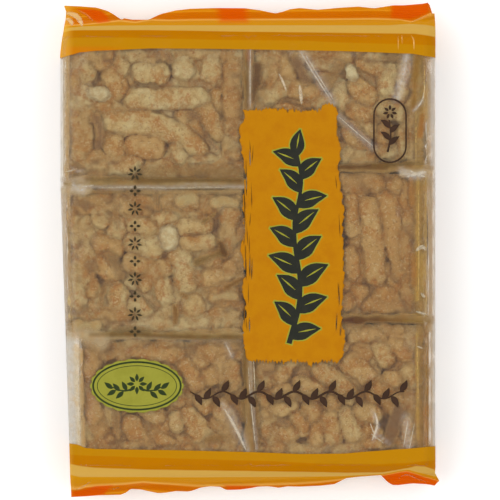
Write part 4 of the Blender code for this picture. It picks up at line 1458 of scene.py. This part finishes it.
def leaf(base, angle, length, width, bend=0.0, grow=0.0):
    """Outline of a pointed leaf that grows from its base at an angle in degrees, bowed sideways by bend."""
    heading, side = headings(angle)
    base = np.array(base, float)
    points = (base, base + heading * length / 2 + side * bend, base + heading * length)
    return stroke(points, [width * share for share in LEAF_PROFILE], grow, min(0.7, length / 8))


def oval(centre, half_width, half_height, waves=0, depth=0.0, steps=64):
    """Outline of an oval, its edge scalloped by a number of waves."""
    turn = np.linspace(0, 2 * math.pi, steps, endpoint=False)
    swell = 1.0 + depth * np.abs(np.cos(waves * turn / 2)) - depth if waves else 1.0
    return np.column_stack([
        centre[0] + half_width * swell * np.cos(turn), centre[1] + half_height * swell * np.sin(turn)
    ])


def long_round(centre, width, height, steps=16):
    """Outline of an upright frame with half-round ends."""
    radius = width / 2
    turn = np.linspace(0, math.pi, steps)
    straight = height / 2 - radius
    upper = np.column_stack([radius * np.cos(turn), straight + radius * np.sin(turn)])
    return np.vstack([upper, -upper]) + centre


def brushed_panel(draw):
    """Outline of the orange panel: paint laid with a broad brush, with bristle marks at its edges."""
    low, high = np.array(PANEL_LOW), np.array(PANEL_HIGH)
    count_up = int((high[1] - low[1]) / 0.9)
    count_across = int((high[0] - low[0]) / 0.7)
    outline = []
    for side, table in ((1, PANEL_RIGHT), (-1, PANEL_LEFT)):
        for index in range(count_up):
            share = index / count_up
            y = low[1] + (high[1] - low[1]) * (share if side > 0 else 1 - share)
            wave = 0.7 * noise.noise(Vector((side * 3, y / 3.4, 5)))
            torn = 0.8 * ((y * (0.21 if side > 0 else 0.17)) % 1.0) ** 2
            edge = float(np.interp(y, *zip(*table)))
            outline.append((edge + side * (wave + torn + draw.uniform(-0.12, 0.12)), y))
        table = PANEL_TOP if side > 0 else PANEL_BOTTOM
        for index in range(count_across):
            share = index / count_across
            x = table[-1][0] + (table[0][0] - table[-1][0]) * (share if side > 0 else 1 - share)
            edge = float(np.interp(x, *zip(*table)))
            bristle = draw.random() ** 2.0 * (1.3 if index % 2 else -1.7)
            outline.append((x, edge + side * bristle))
    return np.array(outline)


def branch_print():
    """The panel with its bold leafy branch."""
    draw = random.Random(31)
    shapes = [(brushed_panel(draw), "panel_ink")]
    for _ in range(STREAKS):
        side = draw.choice((-1, -1, 1))
        if side < 0:
            x = PANEL_LOW[0] + draw.uniform(-0.5, 3.0)
        else:
            x = PANEL_HIGH[0] - draw.uniform(-0.5, 2.0)
        y = draw.uniform(PANEL_LOW[1] + 5, PANEL_HIGH[1] - 18)
        length = draw.uniform(5, 15)
        lean = draw.uniform(-0.6, 0.6)
        ink = "streak_ink" if draw.random() < 0.6 else None
        shapes.append((stroke(((x, y), (x + lean, y + length)), (0.05, 0.5, 0.3, 0.05)), ink))
    stem = even_line(BRANCH_LINE, 0.7)
    leaves = []
    for number in range(BRANCH_LEAVES):
        share = (number + 0.4) / BRANCH_LEAVES
        index = int(share * (len(stem) - 2))
        run = stem[index + 1] - stem[index]
        heading = math.degrees(math.atan2(run[1], run[0]))
        side = 1 if number % 2 else -1
        size = 1.0 - 0.25 * abs(share - 0.35)
        angle = heading + side * (50 + draw.uniform(-6, 6))
        leaves.append((stem[index], angle, size * draw.uniform(13.5, 15.5), size * 7.8, side * -1.9))
    leaves.append((stem[-1], 84, 11.5, 6.2, 0.8))
    for grow, ink in ((OUTLINE_GROW, "leaf_edge_ink"), (0.0, "leaf_ink")):
        shapes.append((stroke(BRANCH_LINE, STEM_WIDTHS, grow), ink))
        shapes += [(leaf(*one, grow=grow), ink) for one in leaves]
    for base, angle, length, _, bend in leaves:
        heading, side = headings(angle)
        start = base + heading * 0.3 * length + side * bend * 0.8
        end = base + heading * 0.85 * length + side * bend * 0.3
        shapes.append((stroke((start, end), (0.1, 0.7, 0.1)), "leaf_edge_ink"))
    return shapes


def flower(centre, size, petals, turn, ink, width=0.42):
    """Petals round an open middle, each a little leaf."""
    shapes = []
    for number in range(petals):
        angle = turn + 360 * number / petals
        heading, _ = headings(angle)
        shapes.append((leaf(centre + 0.26 * size * heading, angle, 0.74 * size, width * size), ink))
    return shapes


def badge_print():
    """The oval badge, with a flower between two sprigs."""
    badge = np.array(BADGE_MIDDLE)
    shapes = [(oval(badge, *BADGE_HALF, 22, 0.04, 132), "badge_ink")]
    for in_wide, in_high, ink in BADGE_RINGS:
        shapes.append((oval(badge, BADGE_HALF[0] - in_wide, BADGE_HALF[1] - in_high), ink))
    for side in (-1, 1):
        stem = (badge + (side * 1.0, -1.0), badge + (side * 6.0, -2.6), badge + (side * 12.5, 0.5))
        shapes.append((stroke(stem, (0.9, 0.6, 0.3)), "badge_line_ink"))
        for out, up, angle in BADGE_LEAVES:
            turned = angle if side > 0 else 180 - angle
            shapes.append((leaf(badge + (side * out, up), turned, 4.4, 2.0), "badge_line_ink"))
    return shapes + flower(badge + (0.0, 0.8), 4.4, 8, 90, "badge_line_ink", 0.36)


def frame_print():
    """The small upright frame, open inside, with a sprig under a flower."""
    middle = np.array(FRAME_MIDDLE)
    wide, high = FRAME_SIZE
    sprig = middle + np.array(((-1.0, -9.0), (0.6, -2.0), (-0.4, 4.5)))
    shapes = [
        (long_round(middle, wide, high), "brown_ink"),
        (long_round(middle, wide - 2 * LINE, high - 2 * LINE), None),
        (stroke(sprig, (0.9, 0.7, 0.5)), "brown_ink"),
    ]
    for up, side in ((-6.0, 1), (-4.0, -1), (-1.0, 1), (1.0, -1)):
        shapes.append((leaf(middle + (0.0, up), 90 - side * 48, 5.4, 2.3, side * 0.6), "brown_ink"))
    return shapes + flower(middle + (0.0, 7.8), 3.1, 7, 90, "brown_ink", 0.4)


def flower_column():
    """The column of little flowers, large and small by turns."""
    shapes = []
    for number, y in enumerate(np.linspace(COLUMN_TOP, COLUMN_END, COLUMN_MARKS)):
        size, petals, turn, width = (2.4, 4, 0, 0.5) if number % 2 else (3.2, 7, 90, 0.3)
        shapes += flower(np.array((COLUMN_X, y)), size, petals, turn, "dark_ink", width)
    return shapes


def vine_print():
    """The running vine, with a leaf to each side by turns."""
    across = np.linspace(*VINE_SPAN, 40)
    vine = np.column_stack([across, VINE_Y + VINE_SWAY * np.sin(2 * math.pi * across / VINE_WAVE)])
    shapes = [(stroke(vine, (0.5, 0.95, 0.95, 0.5)), "brown_ink")]
    for number in range(int((VINE_SPAN[1] - VINE_SPAN[0]) / VINE_LEAF_PITCH)):
        x = VINE_SPAN[0] + VINE_LEAF_PITCH * (number + 0.5)
        y = VINE_Y + VINE_SWAY * math.sin(2 * math.pi * x / VINE_WAVE)
        side = 1 if number % 2 else -1
        shapes.append((leaf((x, y), side * 58, 5.6, 2.7, side * -0.5), "brown_ink"))
    return shapes


def left_turning(outline):
    """The outline with its points running anticlockwise."""
    outline = np.asarray(outline, float)
    following = np.roll(outline, -1, axis=0)
    area = (outline[:, 0] * following[:, 1] - outline[:, 1] * following[:, 0]).sum()
    return outline if area > 0 else outline[::-1]


def on_film(film, x, y, lift):
    """The place on the bag's front over a spot, lifted off it."""
    hit = film.ray_cast(Vector((x, y, SHOT_HEIGHT)), Vector((0, 0, -1)))[0]
    hit = hit or film.find_nearest(Vector((x, y, MID_HEIGHT)))[0]
    return hit.x, hit.y, hit.z + lift


def thin_piece(name, mesh, materials):
    """A thin closed piece from an open sheet."""
    piece = new_object(name, mesh, materials)
    wall = piece.modifiers.new("thickness", "SOLIDIFY")
    wall.thickness = INK_THICK * MM
    wall.offset = 1.0
    wall.use_even_offset = False
    shaped(piece)
    return piece


def rim_shares(spots, corners, holders, outlines, soft):
    """How far each spot is inside its own shape's edge, as a share of the soft rim."""
    shape_of = np.full(len(spots), -1)
    for triangle, holding in zip(corners, holders):
        for corner in triangle:
            shape_of[corner] = max([shape_of[corner], *holding])
    shares = np.ones(len(spots))
    for number, outline in enumerate(outlines):
        own = shape_of == number
        inside = distance_to_line(spots[own], np.vstack([outline, outline[:1]]))
        shares[own] = np.minimum(1.0, inside / soft)
    return shares


def laid_on(film, name, shapes, finishes, lift, soft=0.0, step=INK_STEP):
    """Flat shapes laid on the film, each place taking the last shape that covers it: a thin closed piece."""
    outlines = [left_turning(outline) for outline, _ in shapes]
    low = np.min([outline.min(axis=0) for outline in outlines], axis=0)
    high = np.max([outline.max(axis=0) for outline in outlines], axis=0)
    points, loops = [], []
    for outline in outlines:
        loops.append(list(range(len(points), len(points) + len(outline))))
        points += [Vector(point) for point in outline]
    across, along = np.arange(low[0], high[0], step), np.arange(low[1], high[1], step)
    grid = np.array([(x, y) for x in across for y in along])
    covered = np.zeros(len(grid), bool)
    for outline in outlines:
        covered |= ((grid > outline.min(axis=0) - step) & (grid < outline.max(axis=0) + step)).all(axis=1)
    points += [Vector(spot) for spot in grid[covered]]
    flat, _, corners, _, _, holders = delaunay_2d_cdt(points, [], loops, 1, 1e-5)
    spots = np.array([tuple(point) for point in flat])
    rim = rim_shares(spots, corners, holders, outlines, soft) if soft else np.ones(len(spots))
    used = list(dict.fromkeys(ink for _, ink in shapes if ink))
    mesh = bmesh.new()
    inner = mesh.verts.layers.float.new("inner")
    verts = {}
    for triangle, holding in zip(corners, holders):
        ink = shapes[max(holding)][1] if holding else None
        if ink is None:
            continue
        for corner in triangle:
            if corner not in verts:
                verts[corner] = mesh.verts.new(on_film(film, *flat[corner], lift))
                verts[corner][inner] = rim[corner]
        face = mesh.faces.new([verts[corner] for corner in triangle])
        face.material_index = used.index(ink)
    return thin_piece(name, mesh, [finishes[ink] for ink in used])


def painted_light_strokes(spots):
    """Colour and cover of the soft strokes at each spot, each laid over those before."""
    wobble = np.array([noise.noise(Vector((x / 6, y / 6, 4.0))) for x, y in spots])
    colour = np.zeros((len(spots), 3))
    cover = np.zeros(len(spots))
    for tone, most, width, soft, *line in PAINTED_LIGHT_STROKES:
        away = distance_to_line(spots, even_line(line, 2.0)) + SHEET_WOBBLE * wobble * min(1.0, width / 4)
        part = most * smoothstep(0.0, soft, width / 2 - away)
        kept = cover * (1 - part)
        total = kept + part
        seen = (lit_share(PAINTED_LIGHT_TONES[tone]) - FILM_GLARE) / FILM_SHARE
        mixed = colour * kept[:, None] + np.maximum(seen, 0.002) * part[:, None]
        colour = mixed / np.maximum(total, 1e-6)[:, None]
        cover = total
    # A half covering sheet also keeps light from the dough under it, so it is lighter there
    colour += (1 - cover)[:, None] * lit_share(DOUGH_AS_SEEN)
    return colour, cover


def shaded_film(film, name, material, lift):
    """One thin sheet of painted shade and light close under the bag's front, coloured and covering along the
    soft strokes.
    """
    rows = np.arange(*SHEET_SPAN, SHEET_STEP)
    portions = np.linspace(0.0, 1.0, SHEET_COLUMNS + 1)
    left = left_side(rows)[:, None] + SHEET_INSET
    x = left + (RIGHT_SIDE - SHEET_INSET - left) * portions
    spots = np.column_stack([x.ravel(), np.repeat(rows, len(portions))])
    colour, cover = painted_light_strokes(spots)
    mesh = bmesh.new()
    bmesh.ops.create_grid(mesh, x_segments=SHEET_COLUMNS, y_segments=len(rows) - 1, size=1.0)
    layer = mesh.verts.layers.float.new("cover")
    tones = mesh.verts.layers.float_color.new("tone_colour")
    for vert in mesh.verts:
        i = round((vert.co.x + 1) / 2 * SHEET_COLUMNS)
        j = round((vert.co.y + 1) / 2 * (len(rows) - 1))
        number = j * (SHEET_COLUMNS + 1) + i
        vert.co = (*spots[number], 0.0)
        vert[layer] = 1 - math.sqrt(max(0.0, 1 - cover[number]))
        vert[tones] = (*colour[number], 1.0)
    bare = [face for face in mesh.faces if max(vert[layer] for vert in face.verts) < 0.01]
    bmesh.ops.delete(mesh, geom=bare, context="FACES")
    loose = [vert for vert in mesh.verts if not vert.link_faces]
    bmesh.ops.delete(mesh, geom=loose, context="VERTS")
    for vert in mesh.verts:
        vert.co = on_film(film, vert.co.x, vert.co.y, lift)
    return thin_piece(name, mesh, [material])


def folds_laid(film, name, folds, finishes, lift, soft=0.0, step=INK_STEP):
    """A piece of folds, each given as its finish, width and line, with edges that fade over a soft rim."""
    shapes = [(fold_outline(width, line), ink) for ink, width, *line in folds]
    return laid_on(film, name, shapes, finishes, lift, soft, step)


def fold_outline(width, points):
    """Outline of a fold that tapers to both ends, a little uneven in width."""
    count = 2 + 4 * len(points)
    uneven = min(0.2, 0.16 / width)
    widths = [
        width * math.sin(math.pi * (k + 0.3) / (count - 0.4)) ** 0.5 * (1 + uneven * (2 * (k % 2) - 1))
        for k in range(count)
    ]
    return stroke(points, widths)


def fold_finish(name, colour, cover, least=0.35):
    """A fold drawn as a veil of colour with a soft gloss, its cover least in places: a painted highlight when
    pale, painted shade when dark.
    """
    n = Nodes(name)
    crinkle = n.crinkle(n.noise(1.6, 3.0, 0.6), 0.7 * (1.05 - least), 0.6)
    share = n.step(n.noise(2.4, 3.0, 0.65), 0.32, 0.64, least * cover, cover)
    share = n.times(share, n.step(n.value("inner"), 0.0, 1.0))
    return n.finish(n.mix_shaders(share, n.clear(), n.paint(tint(*colour), 0.3, crinkle)))


def shaded_finish():
    """Painted shade and light seen through the film: its own colour and cover at each place, a little thinner
    here and there.
    """
    n = Nodes("shaded_film")
    tones = n.add("Attribute", attribute_name="tone_colour").outputs["Color"]
    darker = n.mix(1.0, tones, (0.82, 0.8, 0.78, 1.0), "MULTIPLY")
    toasted = n.mix(1.0, tones, (1.0, 0.84, 0.62, 1.0), "MULTIPLY")
    mottled = n.mix(n.step(n.noise(1.7, 4.0, 0.65), 0.34, 0.64, 0.0, 0.7), tones, darker)
    mottled = n.mix(n.step(n.noise(3.4, 3.0, 0.6), 0.46, 0.66, 0.0, 0.6), mottled, toasted)
    veil = n.paint(mottled, 0.4, n.crinkle(n.noise(1.8, 3.0, 0.6), 0.25, 0.6), 0.2)
    share = n.times(n.value("cover"), n.step(n.noise(3.0, 3.0, 0.6), 0.3, 0.6, 0.9, 1.0))
    return n.finish(n.mix_shaders(share, n.clear(), veil))


def ink_finish(name, colour, darker):
    """Printing ink on film: even colour, a little thinner in places, with a soft sheen."""
    n = Nodes(name)
    thin = n.step(n.noise(6.0, 3.0, 0.6), 0.35, 0.7)
    fine = n.step(n.noise(0.7, 2.0, 0.6), 0.4, 0.7, 0.0, 0.4)
    shade = n.mix(n.maths("MAXIMUM", thin, fine), tint(*colour), tint(*darker))
    return n.finish(n.paint(shade, 0.42, n.crinkle(n.noise(5.0, 3.0, 0.6), 0.2, 0.6), 0.08))


def pale_floor():
    mesh = bmesh.new()
    bmesh.ops.create_grid(mesh, x_segments=1, y_segments=1, size=FLOOR_SIZE)
    n = Nodes("floor")
    speckle = n.mix(n.noise(40.0), tint(254, 254, 254), tint(252, 252, 252))
    pale = n.add("BsdfPrincipled", {
        "Base Color": speckle, "Roughness": 0.9,
        "Emission Color": (1.0, 1.0, 1.0, 1.0), "Emission Strength": FLOOR_GLOW,
    })
    floor = new_object("floor", mesh, [n.finish(pale.outputs["BSDF"])])


def studio():
    """A plain pale floor, soft light and the camera over the pack."""
    scene = bpy.context.scene
    pale_floor()
    scene.world = bpy.data.worlds.new("studio")
    scene.world.use_nodes = True
    glow = scene.world.node_tree.nodes["Background"]
    glow.inputs["Color"].default_value = (1.0, 0.99, 0.975, 1.0)
    glow.inputs["Strength"].default_value = WORLD_GLOW
    for name, place, power in LIGHTS:
        lamp = bpy.data.lights.new(name, "AREA")
        lamp.shape = "SQUARE"
        lamp.size = LIGHT_SIZE
        lamp.energy = power
        light = bpy.data.objects.new(name, lamp)
        light.location = place
        light.rotation_euler = (-Vector(place)).to_track_quat("-Z", "Y").to_euler()
        scene.collection.objects.link(light)
    optics = bpy.data.cameras.new("camera")
    optics.sensor_width = SENSOR
    optics.lens = SENSOR * CAMERA_HEIGHT / (VIEW_WIDTH * MM)
    optics.clip_end = 20.0
    camera = bpy.data.objects.new("camera", optics)
    camera.location = (CAMERA_PLACE[0] * MM, CAMERA_PLACE[1] * MM, PACK_DEPTH * MM + CAMERA_HEIGHT)
    scene.collection.objects.link(camera)
    bpy.context.scene.camera = camera
    scene.view_settings.view_transform = "Standard"


def main():
    noise.seed_set(SWAY_SEED)
    studio()
    spots = [(column, row) for column in range(2) for row in range(3)]
    dough = dough_finish()
    blocks = [dough_block(*spot, dough) for spot in spots]
    below = spread(height_map(blocks, -1))
    rests_on = spread(height_map(blocks, 1)) + WRAPPER_REST
    bare = rests_on < 0
    wrapper_top = stretched(np.where(bare, 0.0, rests_on), rests_on, bare, WRAP_ROUNDS)
    wrap_film = film_finish("wrapper_film", WRAPPER_HAZE, False)
    wraps = [wrapper(*spot, wrapper_top, wrap_film) for spot in spots]
    bag = film_bag(wrapper_top + FRONT_REST, below + BACK_REST, film_finish("bag_film", BAG_HAZE, True))
    film = BVHTree.FromPolygons(places_of(bag.data), [face.vertices[:] for face in bag.data.polygons])
    inks = {name: ink_finish(name, *colours) for name, colours in INKS.items()}
    small_shapes = badge_print() + frame_print() + flower_column() + vine_print()
    prints = [
        laid_on(film, "panel_print", branch_print(), inks, PRINT_LIFT),
        laid_on(film, "small_prints", small_shapes, inks, PRINT_LIFT),
    ]
    # Folds drawn as painted highlights and shade lines, and the sheet of painted shade and light
    fold_film = {name: fold_finish(name, *look) for name, look in FOLD_LOOKS.items()}
    folds = [
        folds_laid(film, "wrapper_fold_light_and_shade", CRISP_FOLDS, fold_film, -WRAPPER_FOLDS_UNDER),
        shaded_film(film, "shaded_film", shaded_finish(), -SHADED_UNDER),
        folds_laid(film, "bag_folds_and_highlights", PRINT_FOLDS, fold_film, BAG_FOLDS_LIFT, 0.5, 0.5),
    ]
    for piece in blocks:
        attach(piece, "root")
    for piece in wraps + folds + [bag]:
        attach(piece, "root")
    for piece in prints:
        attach(piece, "root")
    for piece in blocks + wraps + folds + [bag] + prints:
        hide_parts(NODE)


main()
